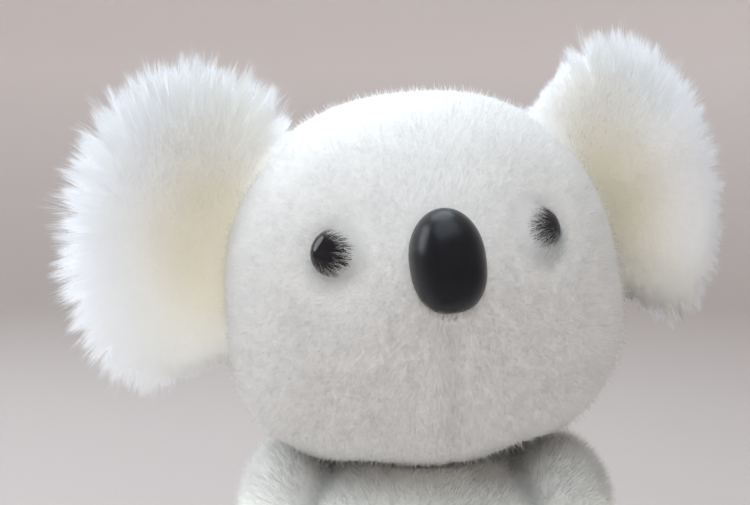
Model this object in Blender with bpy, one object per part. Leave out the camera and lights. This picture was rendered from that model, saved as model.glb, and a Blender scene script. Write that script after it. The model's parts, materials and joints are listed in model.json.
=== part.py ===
"""A plush koala, about 300 mm tall, sitting on a flat seat and facing -Y.

The floor is z = 0 and the toy's left side is +X. Lengths are in metres.
"""

import math

import bmesh
import bpy
from mathutils import Matrix, Vector

# Torso, an egg cut flat where it sits
BELLY_HALF_WIDTH = 0.070
BELLY_HALF_DEPTH = 0.060
BELLY_HEIGHT = 0.045
TORSO_REACH_UP = 0.1125
TORSO_REACH_DOWN = 0.0643
TORSO_SQUARENESS = 2.4
TORSO_SHOULDER_ANGLE = math.radians(65)
PELLET_BAG_RADIUS = 0.050
PELLET_BAG_HEIGHT = 0.030
PELLET_BAG_POWER = 0.6

# Head, measured from the point that it turns about, wider at its cheeks than at its crown
HEAD_HALF_WIDTH = 0.0785
HEAD_CROWN = 0.0735
HEAD_CHIN = 0.0735
FACE_DEPTH = 0.058
NAPE_DEPTH = 0.064
HEAD_TAPER_SHARE = 0.11
HEAD_SIDE = -0.002
HEAD_FORWARD = 0.006
HEAD_RISE = 0.0675
HEAD_HEIGHT = BELLY_HEIGHT + TORSO_REACH_UP + HEAD_RISE
HEAD_TURN = math.radians(6.4)
HEAD_TILT = math.radians(6.0)
HEAD_SQUARENESS = 2.45

# Muzzle, with the seam drawn in below the nose
MUZZLE_RISE = 0.011
MUZZLE_HALF_WIDTH = 0.026
MUZZLE_HALF_HEIGHT = 0.030
MUZZLE_DROP = 0.004
MUZZLE_SEAM_DEPTH = 0.0028
MUZZLE_SEAM_WIDTH = 0.0030
MUZZLE_SEAM_TOP = -0.004
MUZZLE_SEAM_FADE = 0.006

# Neck: a round-bottomed head turns in a dish at the top of the torso
NECK_ANGLE = math.radians(18.5)
HEAD_ROUND_ANGLE = math.radians(28.7)
HEAD_SHAPED_ANGLE = math.radians(40)
HEAD_HOLE_RADIUS = 0.0108
TORSO_HOLE_RADIUS = 0.0180
NECK_WAD_DEPTH = 0.016

# Cloth and the room between pieces
CLOTH = 0.0030
SEAM_GAP = 0.0003
FILLING_GAP = 0.0006
OVERRUN = 0.010

# Eyes
EYE_DIAMETER = 0.0172
EYE_DOME = 0.0062
EYE_SPREAD = math.radians(36.2)
EYE_RISE = math.radians(17.0)
EYE_SOCKET_DEPTH = 0.0020
EYE_SOCKET_WIDTH = 0.0095
EYE_WASHER_DIAMETER = 0.0180
EYE_PLUMP = 0.80

# Nose
NOSE_WIDTH = 0.0258
NOSE_HEIGHT = 0.0358
NOSE_DOME = 0.0150
NOSE_RISE = math.radians(11.6)
NOSE_WASHER_DIAMETER = 0.0240

# Ribbed shafts and toothed washers that clamp the eyes and the nose through the cloth
SHAFT_RADIUS = 0.0021
SHAFT_RIB = 0.0005
SHAFT_LENGTH = 0.0150
SHAFT_RIB_PITCH = 0.0020
SHAFT_HOLE_ROOM = 0.0006
WASHER_THICKNESS = 0.0014
WASHER_TOOTH = 0.0012
WASHER_TEETH = 6
POCKET_ROOM = 0.0012

# Ears, each hinged on a straight line just outside the head, and folded a little as they rest
EAR_HINGE_CLEARANCE = 0.0060
EAR_HINGE_OUT = HEAD_HALF_WIDTH + EAR_HINGE_CLEARANCE
EAR_HINGE_BACK = 0.008
EAR_HINGE_RISE = 0.0135
EAR_LEAN = math.radians(15)
EAR_SWEEP = math.radians(12)
LEFT_EAR_REST = math.radians(8)
RIGHT_EAR_REST = math.radians(-5)
EAR_HALF_WIDTH = 0.0400
EAR_HALF_HEIGHT = 0.0570
EAR_OUTWARD = 0.0085
EAR_UPWARD = 0.0140
EAR_CUP = 0.0100
EAR_THICKNESS = 0.0100
EAR_RIM = 0.0016
EAR_SQUARENESS = 2.2
EAR_FOLD_FORWARD = math.radians(22)
EAR_FOLD_BACK = math.radians(32)
EAR_ROOM = 0.0006

# Arms, measured from the shoulder's axis
SHOULDER_SIDE = 0.0425
SHOULDER_FORWARD = 0.008
SHOULDER_DROP = 0.0325
SHOULDER_HEIGHT = BELLY_HEIGHT + TORSO_REACH_UP - SHOULDER_DROP
SHOULDER_TILT = math.radians(24)
SHOULDER_YAW = math.radians(18)
ARM_SWING = math.radians(22)
ARM_HALF_THICKNESS = 0.0185
ARM_HALF_WIDTH = 0.0250
ARM_LENGTH = 0.0660
ARM_CENTRE_OUT = 0.0140
ARM_DRIFT = 0.0070

# Legs, measured from the hip's axis
HIP_SIDE = 0.0590
HIP_FORWARD = 0.012
HIP_HEIGHT = 0.0235
HIP_YAW = math.radians(10)
HIP_SEAT_RADIUS = 0.0340
LEG_HALF_THICKNESS = 0.0215
LEG_HALF_WIDTH = 0.0240
LEG_LENGTH = 0.0800
LEG_CENTRE_OUT = 0.0140
LEG_DRIFT = 0.0300

# Shares of a limb's length and width along its run, from the joint to the paw
WRIST_PLACE_SHARE = 0.55
PAW_PLACE_SHARE = 0.90
DRIFT_END_SHARE = 1.60
WRIST_WIDTH_SHARE = 0.86
PAW_WIDTH_SHARE = 0.98
LIMB_BLUNTNESS = 3.4

# Shares that shape the nose: how fast its two halves close towards top and bottom
NOSE_TOP_POWER = 2.1
NOSE_TOP_ROUND = 0.50
NOSE_FOOT_POWER = 2.5
NOSE_PLUMP = 0.72

# Facets: counts, the edges that stay sharp, and how far columns crowd to the head's front
SHARP_EDGE = math.radians(42)
HEAD_FRONT_POWER = 1.45
HEAD_ROWS = 17
HEAD_NECK_ROWS = 3
HEAD_COLUMNS = 34
TORSO_ROWS = 14
TORSO_COLUMNS = 28
LIMB_ROWS = 12
LIMB_COLUMNS = 18
INNER_STEP = 2
EYE_COLUMNS = 26
DOME_ROWS = 6
SHAFT_COLUMNS = 12
BAG_ROWS = 10
DISH_SHARES = (0.0, 0.40, 0.75, 1.0)
WAD_SHARES = (0.5, 1.0)
EAR_COLUMNS = 24
EAR_ROW_SHARES = (0.30, 0.56, 0.76, 0.90, 0.975, 1.0)
EAR_ROOT_LEVELS = 22
EAR_AIM_STEP = math.radians(10)
EAR_AIMS = 6

SIDES = {"left": 1, "right": -1}
EAR_RESTS = {"left": LEFT_EAR_REST, "right": RIGHT_EAR_REST}


def clear_scene():
    for item in list(bpy.data.objects):
        bpy.data.objects.remove(item, do_unlink=True)


def material(name, colour, roughness):
    made = bpy.data.materials.new(name)
    made.use_nodes = True
    shader = made.node_tree.nodes["Principled BSDF"]
    shader.inputs["Base Color"].default_value = (*colour, 1.0)
    shader.inputs["Roughness"].default_value = roughness
    shader.inputs["Metallic"].default_value = 0.0
    return made


def pivot(name, parent, place, turn):
    """An empty that a moving piece hangs from, with its origin on the joint's axis."""
    empty = bpy.data.objects.new(name, None)
    bpy.context.scene.collection.objects.link(empty)
    empty.parent = parent
    empty.matrix_local = Matrix.Translation(place) @ turn.to_4x4()
    return empty


def loft(rows):
    """A closed mesh through rings of points, with a single point or a flat face at each end."""
    mesh = bmesh.new()
    made = [[mesh.verts.new(point) for point in row] for row in rows]
    for lower, upper in zip(made, made[1:]):
        count = max(len(lower), len(upper))
        for i in range(count):
            j = (i + 1) % count
            if len(lower) == 1:
                mesh.faces.new((lower[0], upper[j], upper[i]))
            elif len(upper) == 1:
                mesh.faces.new((lower[i], lower[j], upper[0]))
            else:
                mesh.faces.new((lower[i], lower[j], upper[j], upper[i]))
    for end in (made[0], made[-1]):
        if len(end) > 1:
            mesh.faces.new(end)
    bmesh.ops.triangulate(mesh, faces=mesh.faces, quad_method="FIXED")
    return turned_out(mesh)


def turned_out(mesh):
    """The closed mesh with all its faces pointing out."""
    bmesh.ops.recalc_face_normals(mesh, faces=mesh.faces)
    if mesh.calc_volume(signed=True) < 0:
        bmesh.ops.reverse_faces(mesh, faces=mesh.faces)
    return mesh


def add(name, mesh, finish=None, parent=None):
    """An object that holds the mesh, smooth except at its sharp edges."""
    data = bpy.data.meshes.new(name)
    mesh.to_mesh(data)
    mesh.free()
    data.shade_smooth()
    data.set_sharp_from_angle(angle=SHARP_EDGE)
    made = bpy.data.objects.new(name, data)
    bpy.context.scene.collection.objects.link(made)
    made.parent = parent
    if finish is not None:
        data.materials.append(finish)
    return made


def cutter(name, mesh, parent=None):
    made = add(name, mesh, parent=parent)
    made.hide_render = True
    made.display_type = "WIRE"
    return made


def combine(piece, operation, others):
    for other in others:
        step = piece.modifiers.new(other.name, "BOOLEAN")
        step.operation = operation
        step.solver = "EXACT"
        step.object = other


def ring(count, place):
    """Points all round, from place(angle)."""
    return [place(math.tau * i / count) for i in range(count)]


def smooth_step(value, low, high):
    share = min(1.0, max(0.0, (value - low) / (high - low)))
    return share * share * (3 - 2 * share)


# Head form


def bump(offset, width):
    return math.exp(-0.5 * (offset / width) ** 2)


def facing(spread, rise):
    """Unit direction from the head's middle, spread to the left of straight ahead and raised."""
    return Vector(
        (
            math.sin(spread) * math.cos(rise),
            -math.cos(spread) * math.cos(rise),
            math.sin(rise),
        )
    )


def head_reach(way, inward=0.0):
    """Distance from the head's middle to its surface along a unit direction."""
    depth = FACE_DEPTH if way.y < 0 else NAPE_DEPTH
    height = HEAD_CROWN if way.z > 0 else HEAD_CHIN
    width = HEAD_HALF_WIDTH * (1 - HEAD_TAPER_SHARE * way.z)
    level = math.hypot(way.x / width, way.y / depth)
    power = HEAD_SQUARENESS
    reach = (level**power + abs(way.z / height) ** power) ** (-1 / power)
    from_below = math.acos(max(-1.0, min(1.0, -way.z)))
    shaped = smooth_step(from_below, HEAD_ROUND_ANGLE, HEAD_SHAPED_ANGLE)
    if way.y < 0:
        spot = way * reach
        across = bump(spot.x, MUZZLE_HALF_WIDTH)
        along = bump(spot.z + MUZZLE_DROP, MUZZLE_HALF_HEIGHT)
        reach -= MUZZLE_RISE * across * along * way.y
        seam = 1 - smooth_step(spot.z, MUZZLE_SEAM_TOP - MUZZLE_SEAM_FADE, MUZZLE_SEAM_TOP)
        reach -= MUZZLE_SEAM_DEPTH * seam * bump(spot.x, MUZZLE_SEAM_WIDTH)
        for side in SIDES.values():
            eye = facing(side * EYE_SPREAD, EYE_RISE)
            reach -= EYE_SOCKET_DEPTH * bump((way - eye).length * reach, EYE_SOCKET_WIDTH)
    return HEAD_CHIN * (1 - shaped) + reach * shaped - inward


def head_columns(step=1):
    """Angles round the head, close together at the front for the muzzle's seam."""
    half = HEAD_COLUMNS // 2
    angles = []
    for i in range(-half, half, step):
        share = abs(i / half) ** HEAD_FRONT_POWER
        angles.append(math.copysign(share * math.pi, i))
    return angles


def head_ring(from_top, inward, step=1):
    points = []
    for angle in head_columns(step):
        way = Vector(
            (
                math.sin(angle) * math.sin(from_top),
                -math.cos(angle) * math.sin(from_top),
                math.cos(from_top),
            )
        )
        points.append(way * head_reach(way, inward))
    return points


def head_rows(inward, step=1):
    """Rings from the crown down to the edge of the hole round the lowest point."""
    turned = math.pi - HEAD_ROUND_ANGLE
    last = math.pi - math.asin(HEAD_HOLE_RADIUS / HEAD_CHIN)
    rows = [[Vector((0, 0, HEAD_CROWN - inward))]]
    for i in range(1, HEAD_ROWS + 1):
        rows.append(head_ring(turned * i / HEAD_ROWS, inward, step))
    for i in range(1, HEAD_NECK_ROWS + 1):
        angle = turned + (last - turned) * i / HEAD_NECK_ROWS
        rows.append(head_ring(angle, inward, step))
    return rows


def head_solid(inward=0.0, step=1):
    return loft([*head_rows(inward, step), [Vector((0, 0, inward - HEAD_CHIN))]])


def head_core(inward, plug_radius, plug_end):
    """The inside of the head with a plug that fills or passes the hole in the cloth."""
    rows = head_rows(inward, INNER_STEP)
    last = math.pi - math.asin(plug_radius / HEAD_CHIN)
    for depth in (inward, plug_end):
        rows.append(head_ring(last, depth, INNER_STEP))
    return loft([*rows, [Vector((0, 0, plug_end - HEAD_CHIN))]])


def surface_frame(way):
    """Place and turn on the head's surface: the turned Z axis points straight out of the cloth."""
    across = way.cross(Vector((0, 0, 1))).normalized()
    up = across.cross(way)
    span = CLOTH / HEAD_CHIN
    spots = []
    for aside in (across, up):
        pair = [(way + sign * span * aside).normalized() for sign in (-1, 1)]
        spots.append([one * head_reach(one) for one in pair])
    out = (spots[0][1] - spots[0][0]).cross(spots[1][1] - spots[1][0]).normalized()
    if out.dot(way) < 0:
        out.negate()
    side = Vector((0, 0, 1)).cross(out).normalized()
    turn = Matrix((side, out.cross(side), out)).transposed()
    return way * head_reach(way), turn


# Safety eyes and nose: a dome, a ribbed shaft and a toothed washer each


def shaft_rows(start, length):
    """Rings down a shaft with saw-toothed ribs, from inside the dome to its blunt tip."""
    rows = [disc_ring(SHAFT_RADIUS, start, SHAFT_COLUMNS)]
    rib_count = int((length - 2 * CLOTH) / SHAFT_RIB_PITCH)
    for i in range(rib_count):
        foot = -2 * CLOTH - i * SHAFT_RIB_PITCH
        rows.append(disc_ring(SHAFT_RADIUS, foot, SHAFT_COLUMNS))
        rows.append(disc_ring(SHAFT_RADIUS + SHAFT_RIB, foot - SHAFT_RIB, SHAFT_COLUMNS))
        rows.append(disc_ring(SHAFT_RADIUS, foot - SHAFT_RIB_PITCH + SHAFT_RIB, SHAFT_COLUMNS))
    rows.append(disc_ring(SHAFT_RADIUS, -length, SHAFT_COLUMNS))
    rows.append(disc_ring(SHAFT_RADIUS - SHAFT_RIB, -length - SHAFT_RIB, SHAFT_COLUMNS))
    return rows


def disc_ring(radius, height, count):
    return ring(
        count, lambda a: Vector((radius * math.cos(a), radius * math.sin(a), height))
    )


def washer(name, diameter, finish, parent):
    """A flat ring whose bore is cut into teeth that bite on the shaft."""
    count = WASHER_TEETH * 4
    bite = SHAFT_RADIUS + SHAFT_RIB + SEAM_GAP
    top = -CLOTH - 3 * SEAM_GAP - diameter**2 / (8 * FACE_DEPTH)
    foot = top - WASHER_THICKNESS

    def bore(height):
        points = []
        for i in range(count):
            angle = math.tau * i / count
            radius = bite if i % 4 in (0, 1) else bite + WASHER_TOOTH
            points.append(Vector((radius * math.cos(angle), radius * math.sin(angle), height)))
        return points

    rim = diameter / 2
    bevel = WASHER_THICKNESS / 4
    rows = [
        bore(top),
        disc_ring(rim - bevel, top, count),
        disc_ring(rim, top - bevel, count),
        disc_ring(rim, foot + bevel, count),
        disc_ring(rim - bevel, foot, count),
        bore(foot),
    ]
    mesh = bmesh.new()
    made = [[mesh.verts.new(point) for point in row] for row in rows]
    for lower, upper in zip(made, made[1:] + made[:1]):
        for i in range(count):
            j = (i + 1) % count
            mesh.faces.new((lower[i], lower[j], upper[j], upper[i]))
    return add(name, turned_out(mesh), finish, parent)


def shaft_hole(name, parent):
    """The hole through the cloth that a shaft passes."""
    radius = SHAFT_RADIUS + SHAFT_RIB + SHAFT_HOLE_ROOM
    rows = [disc_ring(radius, h, SHAFT_COLUMNS) for h in (-CLOTH - OVERRUN, OVERRUN)]
    return cutter(name, loft(rows), parent)


def washer_pocket(name, diameter, parent):
    """The room that a washer and its shaft press into the filling."""
    wide = diameter / 2 + POCKET_ROOM
    slim = SHAFT_RADIUS + SHAFT_RIB + POCKET_ROOM
    step = -CLOTH - diameter**2 / (8 * FACE_DEPTH) - WASHER_THICKNESS - POCKET_ROOM
    tip = -SHAFT_LENGTH - SHAFT_RIB - POCKET_ROOM
    rows = [
        disc_ring(wide, OVERRUN, EYE_COLUMNS),
        disc_ring(wide, step, EYE_COLUMNS),
        disc_ring(slim, step, EYE_COLUMNS),
        disc_ring(slim, tip, EYE_COLUMNS),
    ]
    return cutter(name, loft(rows), parent)


def nose_ring(share, height):
    """The nose's egg outline, narrower at its top, drawn at a share of its full size."""

    def place(angle):
        rise = math.sin(angle)
        if rise > 0:
            width = (1 - rise**NOSE_TOP_POWER) ** NOSE_TOP_ROUND
        else:
            width = (1 - abs(rise) ** NOSE_FOOT_POWER) ** (1 / NOSE_FOOT_POWER)
        across = math.copysign(max(0.0, width), math.cos(angle))
        return Vector(
            (share * across * NOSE_WIDTH / 2, share * rise * NOSE_HEIGHT / 2, height)
        )

    return ring(EYE_COLUMNS, place)


def dome_shares(plump):
    """Pairs of a width share and a height share from a dome's foot to near its tip."""
    pairs = []
    for i in range(DOME_ROWS):
        angle = math.pi / 2 * i / DOME_ROWS
        pairs.append((math.cos(angle) ** plump, math.sin(angle)))
    return pairs


def fitting(name, outline, height, plump, washer_diameter, way, head, finishes, cover, filling):
    """A dome seated on the cloth, with its shaft, washer, hole and pocket."""
    place, turn = surface_frame(way)
    seat = pivot(f"{name}_seat", head, place, turn)
    rows = [outline(1.0, -CLOTH)]
    rows += [outline(w, h * height) for w, h in dome_shares(plump)]
    rows.append([Vector((0, 0, height))])
    dome = add(name, loft(rows), finishes["gloss"], seat)
    combine(dome, "DIFFERENCE", [cover["seat_form"]])
    shaft = cutter(f"{name}_shaft", loft(shaft_rows(height / 2, SHAFT_LENGTH)), seat)
    combine(dome, "UNION", [shaft])
    washer(f"{name}_washer", washer_diameter, finishes["clear"], seat)
    combine(cover["piece"], "DIFFERENCE", [shaft_hole(f"{name}_hole", seat)])
    combine(filling, "DIFFERENCE", [washer_pocket(f"{name}_pocket", washer_diameter, seat)])


def eye_outline(share, height):
    return disc_ring(share * EYE_DIAMETER / 2, height, EYE_COLUMNS)


def make_head(head, finishes):
    """The sewn cover, open at the neck, with its filling, eyes and nose."""
    cover = add("head_cover", head_solid(), finishes["fur"], head)
    plug = HEAD_HOLE_RADIUS - FILLING_GAP
    core = cutter("head_core", head_core(CLOTH, plug + FILLING_GAP / 2, -OVERRUN), head)
    combine(cover, "DIFFERENCE", [core])
    core = head_core(CLOTH + FILLING_GAP, plug - FILLING_GAP / 2, SEAM_GAP)
    filling = add("head_filling", core, finishes["filling"], head)

    seat_form = cutter("head_seat_form", head_solid(-SEAM_GAP), head)
    held = {"piece": cover, "seat_form": seat_form}
    for side_name, side in SIDES.items():
        way = facing(side * EYE_SPREAD, EYE_RISE)
        fitting(f"{side_name}_eye", eye_outline, EYE_DOME, EYE_PLUMP, EYE_WASHER_DIAMETER,
                way, head, finishes, held, filling)
    way = facing(0.0, NOSE_RISE)
    fitting("nose", nose_ring, NOSE_DOME, NOSE_PLUMP, NOSE_WASHER_DIAMETER, way, head,
            finishes, held, filling)


# Ears


def ear_outline(angle, share):
    """A point on the ear's outline, drawn in to a share of its size: outward, forward, upward."""
    c, s = math.cos(angle), math.sin(angle)
    power = EAR_SQUARENESS
    reach = (abs(c) ** power + abs(s) ** power) ** (-1 / power)
    return Vector(
        (
            EAR_OUTWARD + share * reach * c * EAR_HALF_WIDTH,
            -EAR_CUP * share**2,
            EAR_UPWARD + share * reach * s * EAR_HALF_HEIGHT,
        )
    )


def ear_layer(facing_out):
    """One fabric of the ear: a cupped lens lying on one side of the ear's middle."""
    lift = Vector((0, -facing_out, 0))

    def row(share, thickness):
        if share == 0:
            return [ear_outline(0.0, 0.0) + lift * thickness]
        return ring(EAR_COLUMNS, lambda a: ear_outline(a, share) + lift * thickness)

    rows = [row(0, EAR_THICKNESS / 2)]
    for share in EAR_ROW_SHARES:
        fall = (1 - share**4) * (EAR_THICKNESS / 2 - EAR_RIM)
        rows.append(row(share, EAR_RIM + fall))
    for share in EAR_ROW_SHARES[::-2]:
        rows.append(row(share, SEAM_GAP / 2))
    rows.append(row(0, SEAM_GAP / 2))
    return rows


def mirrored(rows, side):
    return [[Vector((side * p.x, p.y, p.z)) for p in row] for row in rows]


def make_ear(side_name, side, head, finishes):
    """Two fabrics, cut back where the head would be in the way of the fold."""
    lean = Matrix.Rotation(-side * EAR_LEAN, 3, "Y")
    sweep = Matrix.Rotation(side * (EAR_SWEEP + EAR_RESTS[side_name]), 3, "Z")
    place = Vector((side * EAR_HINGE_OUT, EAR_HINGE_BACK, EAR_HINGE_RISE))
    turn = lean @ sweep
    hinge = pivot(f"{side_name}_ear_fold", head, place, turn)
    kept = cutter(f"{side_name}_ear_root", loft(mirrored(ear_root(), side)), hinge)
    block = cutter(f"{side_name}_ear_room", loft(mirrored(ear_room(), side)), hinge)
    combine(block, "DIFFERENCE", [kept])
    for layer, facing_out, finish in (("front", 1, "ear"), ("back", -1, "fur")):
        rows = mirrored(ear_layer(facing_out), side)
        piece = add(f"{side_name}_ear_{layer}", loft(rows), finishes[finish], hinge)
        combine(piece, "DIFFERENCE", [block])


def ear_levels():
    """Heights along the ear's hinge, from below the ear to above it."""
    low = EAR_UPWARD - EAR_HALF_HEIGHT - OVERRUN
    high = EAR_UPWARD + EAR_HALF_HEIGHT + OVERRUN
    return [low + (high - low) * i / EAR_ROOT_LEVELS for i in range(EAR_ROOT_LEVELS + 1)]


def room_beside_head(along):
    """How far the head is from the ear's hinge at a height along the hinge."""
    lean = Matrix.Rotation(-EAR_LEAN, 3, "Y")
    spot = Vector((EAR_HINGE_OUT, EAR_HINGE_BACK, EAR_HINGE_RISE)) + lean @ Vector((0, 0, along))
    nearest = EAR_HALF_WIDTH
    for i in range(-EAR_AIMS, EAR_AIMS + 1):
        angle = EAR_AIM_STEP * i
        aim = lean @ Vector((-math.cos(angle), math.sin(angle), 0))
        steps = 0
        while steps * EAR_ROOM < nearest:
            point = spot + aim * (steps * EAR_ROOM)
            if point.length < head_reach(point.normalized()):
                nearest = steps * EAR_ROOM
            steps += 1
    return nearest


def ear_root():
    """A turned form round the ear's hinge that always clears the head, however the ear folds."""
    rows = []
    for along in ear_levels():
        radius = max(EAR_ROOM, room_beside_head(along) - 2 * EAR_ROOM)
        rows.append(disc_ring(radius, along, EAR_COLUMNS))
    return rows


def ear_room():
    """What the ear gives up beside the head: all but a wedge that opens outward."""
    far = 2 * EAR_HALF_HEIGHT
    ahead = math.pi / 2 + EAR_SWEEP - EAR_FOLD_FORWARD
    behind = math.pi / 2 - EAR_SWEEP - EAR_FOLD_BACK
    outline = [
        (0, 0),
        (far * math.cos(behind), far * math.sin(behind)),
        (-far, far),
        (-far, -far),
        (far * math.cos(ahead), -far * math.sin(ahead)),
    ]
    levels = ear_levels()
    return [
        [Vector((x, y, height)) for x, y in outline]
        for height in (levels[0] + EAR_ROOM, levels[-1] - EAR_ROOM)
    ]


# Torso


def torso_girth(height, inward=0.0):
    """Half width and half depth of the egg at a height."""
    if height > BELLY_HEIGHT:
        reach, power = TORSO_REACH_UP - inward, TORSO_SQUARENESS
    else:
        reach, power = TORSO_REACH_DOWN - inward, 2
    share = (1 - abs((height - BELLY_HEIGHT) / reach) ** power) ** (1 / power)
    return (BELLY_HALF_WIDTH - inward) * share, (BELLY_HALF_DEPTH - inward) * share


def oval(half_width, half_depth, height, count):
    return ring(
        count,
        lambda a: Vector((half_width * math.cos(a), half_depth * math.sin(a), height)),
    )


def dish_ring(angle, reach, count):
    """A ring of the dish that the head's round bottom sits in, centred under the head."""
    radius = reach * math.sin(angle)
    height = HEAD_HEIGHT - reach * math.cos(angle)
    centre = Vector((HEAD_SIDE, -HEAD_FORWARD, height))
    return [centre + Vector((p.x, p.y, 0)) for p in oval(radius, radius, 0, count)]


def torso_rows(inward, step=1):
    """Rings of the egg, from the middle of the seat up to the shoulder line."""
    count = TORSO_COLUMNS // step
    levels = TORSO_ROWS // step
    rows = [[Vector((0, 0, inward))]]
    lowest = -math.asin((BELLY_HEIGHT - inward) / (TORSO_REACH_DOWN - inward))
    for i in range(levels + 1):
        angle = lowest + (TORSO_SHOULDER_ANGLE - lowest) * i / levels
        reach = (TORSO_REACH_UP if angle > 0 else TORSO_REACH_DOWN) - inward
        height = BELLY_HEIGHT + reach * math.sin(angle)
        lean = smooth_step(height, BELLY_HEIGHT, BELLY_HEIGHT + TORSO_REACH_UP)
        aside = lean * Vector((HEAD_SIDE, -HEAD_FORWARD, 0))
        rows.append([aside + p for p in oval(*torso_girth(height, inward), height, count)])
    return rows


def torso_core(inward, hole, end):
    """The inside of the torso, with a plug or a pit in the neck's hole that ends at a height."""
    reach = HEAD_CHIN + SEAM_GAP + inward
    rows = torso_rows(inward, INNER_STEP) + dish_rows(reach, hole, INNER_STEP)
    rows.append(dish_flat(hole, end, TORSO_COLUMNS // INNER_STEP))
    rows.append([Vector((HEAD_SIDE, -HEAD_FORWARD, end))])
    return loft(rows)


def dish_rows(reach, hole, step=1):
    """Rings of the neck's dish, from its rim in to a hole of this radius."""
    count = TORSO_COLUMNS // step
    rows = []
    last = math.asin(hole / reach)
    for share in DISH_SHARES:
        angle = NECK_ANGLE + (last - NECK_ANGLE) * share
        rows.append(dish_ring(angle, reach, count))
    return rows


def dish_flat(radius, height, count):
    centre = Vector((HEAD_SIDE, -HEAD_FORWARD, height))
    return [centre + Vector((p.x, p.y, 0)) for p in oval(radius, radius, 0, count)]


def make_neck(neck, finishes):
    """The wad of filling that fills the torso's neck hole, turns in it and carries the head."""
    count = TORSO_COLUMNS // INNER_STEP
    radius = TORSO_HOLE_RADIUS * math.cos(math.pi / count) - SEAM_GAP
    reach = HEAD_CHIN + SEAM_GAP
    rim = math.asin(radius / reach)
    foot = -reach - NECK_WAD_DEPTH

    def level(size, height):
        return [Vector((p.x, p.y, height)) for p in oval(size, size, 0, count)]

    rows = [[Vector((0, 0, -reach))]]
    for share in WAD_SHARES:
        angle = rim * share
        rows.append(level(reach * math.sin(angle), -reach * math.cos(angle)))
    rows.append(level(radius, foot + CLOTH))
    rows.append(level(radius - CLOTH, foot))
    rows.append([Vector((0, 0, foot))])
    return add("neck_filling", loft(rows), finishes["filling"], neck)


def make_torso(finishes):
    """The seat, belly and chest: cover, filling and the bag of pellets that steadies it."""
    reach = HEAD_CHIN + SEAM_GAP
    rows = torso_rows(0.0) + dish_rows(reach, 0.0)[:-1]
    rows.append([Vector((HEAD_SIDE, -HEAD_FORWARD, HEAD_HEIGHT - reach))])
    cover = add("torso_cover", loft(rows), finishes["fur"])
    end = HEAD_HEIGHT - reach + OVERRUN
    core = cutter("torso_core", torso_core(CLOTH, TORSO_HOLE_RADIUS, end))
    combine(cover, "DIFFERENCE", [core])

    foot = HEAD_HEIGHT - reach - NECK_WAD_DEPTH - FILLING_GAP
    stuffing = torso_core(CLOTH + FILLING_GAP, TORSO_HOLE_RADIUS + SEAM_GAP, foot)
    filling = add("torso_filling", stuffing, finishes["filling"])
    count = TORSO_COLUMNS // INNER_STEP

    def bag(extra):
        middle = CLOTH + SEAM_GAP + PELLET_BAG_HEIGHT / 2
        half = PELLET_BAG_HEIGHT / 2 + extra
        radius = PELLET_BAG_RADIUS + extra
        rows = [[Vector((0, 0, middle - half))]]
        for i in range(1, BAG_ROWS):
            angle = math.pi * i / BAG_ROWS
            share = math.sin(angle) ** PELLET_BAG_POWER
            depth = radius * share * BELLY_HALF_DEPTH / BELLY_HALF_WIDTH
            rows.append(oval(radius * share, depth, middle - half * math.cos(angle), count))
        rows.append([Vector((0, 0, middle + half))])
        return loft(rows)

    add("pellet_bag", bag(0.0), finishes["bag"])
    combine(filling, "DIFFERENCE", [cutter("pellet_bag_room", bag(SEAM_GAP))])
    return (cover, 0.0), (core, CLOTH), (filling, CLOTH + FILLING_GAP)


# Limbs, each a tapered form that runs from a rounded root to a blunt paw


def limb_rows(size, inward, step=1):
    """Rings along a limb, in axes outward from the body, across the limb and along it."""
    rows = []
    root = size["half_width"] - inward
    length = size["length"] - inward
    thickness = size["half_thickness"] - inward
    count = LIMB_COLUMNS // step
    levels = LIMB_ROWS // step
    for i in range(levels + 1):
        angle = math.pi * i / levels
        along = -math.cos(angle)
        if along < 0:
            run = along * root
            wide = math.sqrt(max(0.0, 1 - along**2))
            outward = size["centre_out"]
        else:
            run = along * length
            end = (1 - along**LIMB_BLUNTNESS) ** (1 / LIMB_BLUNTNESS)
            narrowed = smooth_step(along, 0.0, WRIST_PLACE_SHARE)
            swelled = smooth_step(along, WRIST_PLACE_SHARE, PAW_PLACE_SHARE)
            wide = 1 - (1 - WRIST_WIDTH_SHARE) * narrowed
            wide += (PAW_WIDTH_SHARE - WRIST_WIDTH_SHARE) * swelled
            wide *= end
            outward = size["centre_out"]
            outward += size["drift"] * smooth_step(along, 0.0, DRIFT_END_SHARE)
        middle = Vector((outward, 0, run))
        if i in (0, levels):
            rows.append([middle])
            continue
        rows.append(
            ring(
                count,
                lambda a, w=wide, m=middle: m
                + Vector((w * thickness * math.cos(a), w * root * math.sin(a), 0)),
            )
        )
    return rows


def slab(name, low, high, parent=None):
    """A box between two corners, used to cut a flat."""
    mesh = bmesh.new()
    bmesh.ops.create_cube(mesh, size=1.0)
    span = high - low
    for vert in mesh.verts:
        share = vert.co + Vector((0.5, 0.5, 0.5))
        vert.co = Vector([low[k] + share[k] * span[k] for k in range(3)])
    return cutter(name, mesh, parent)


def side_slab(name, side, edge, reach, inboard, parent):
    """A slab on the inboard or the outboard side of a flat at this distance out from a joint."""
    far = -reach if inboard else reach
    near, far = side * edge, side * far
    low = Vector((min(near, far), -reach, -reach))
    high = Vector((max(near, far), reach, reach))
    return slab(name, low, high, parent)


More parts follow.
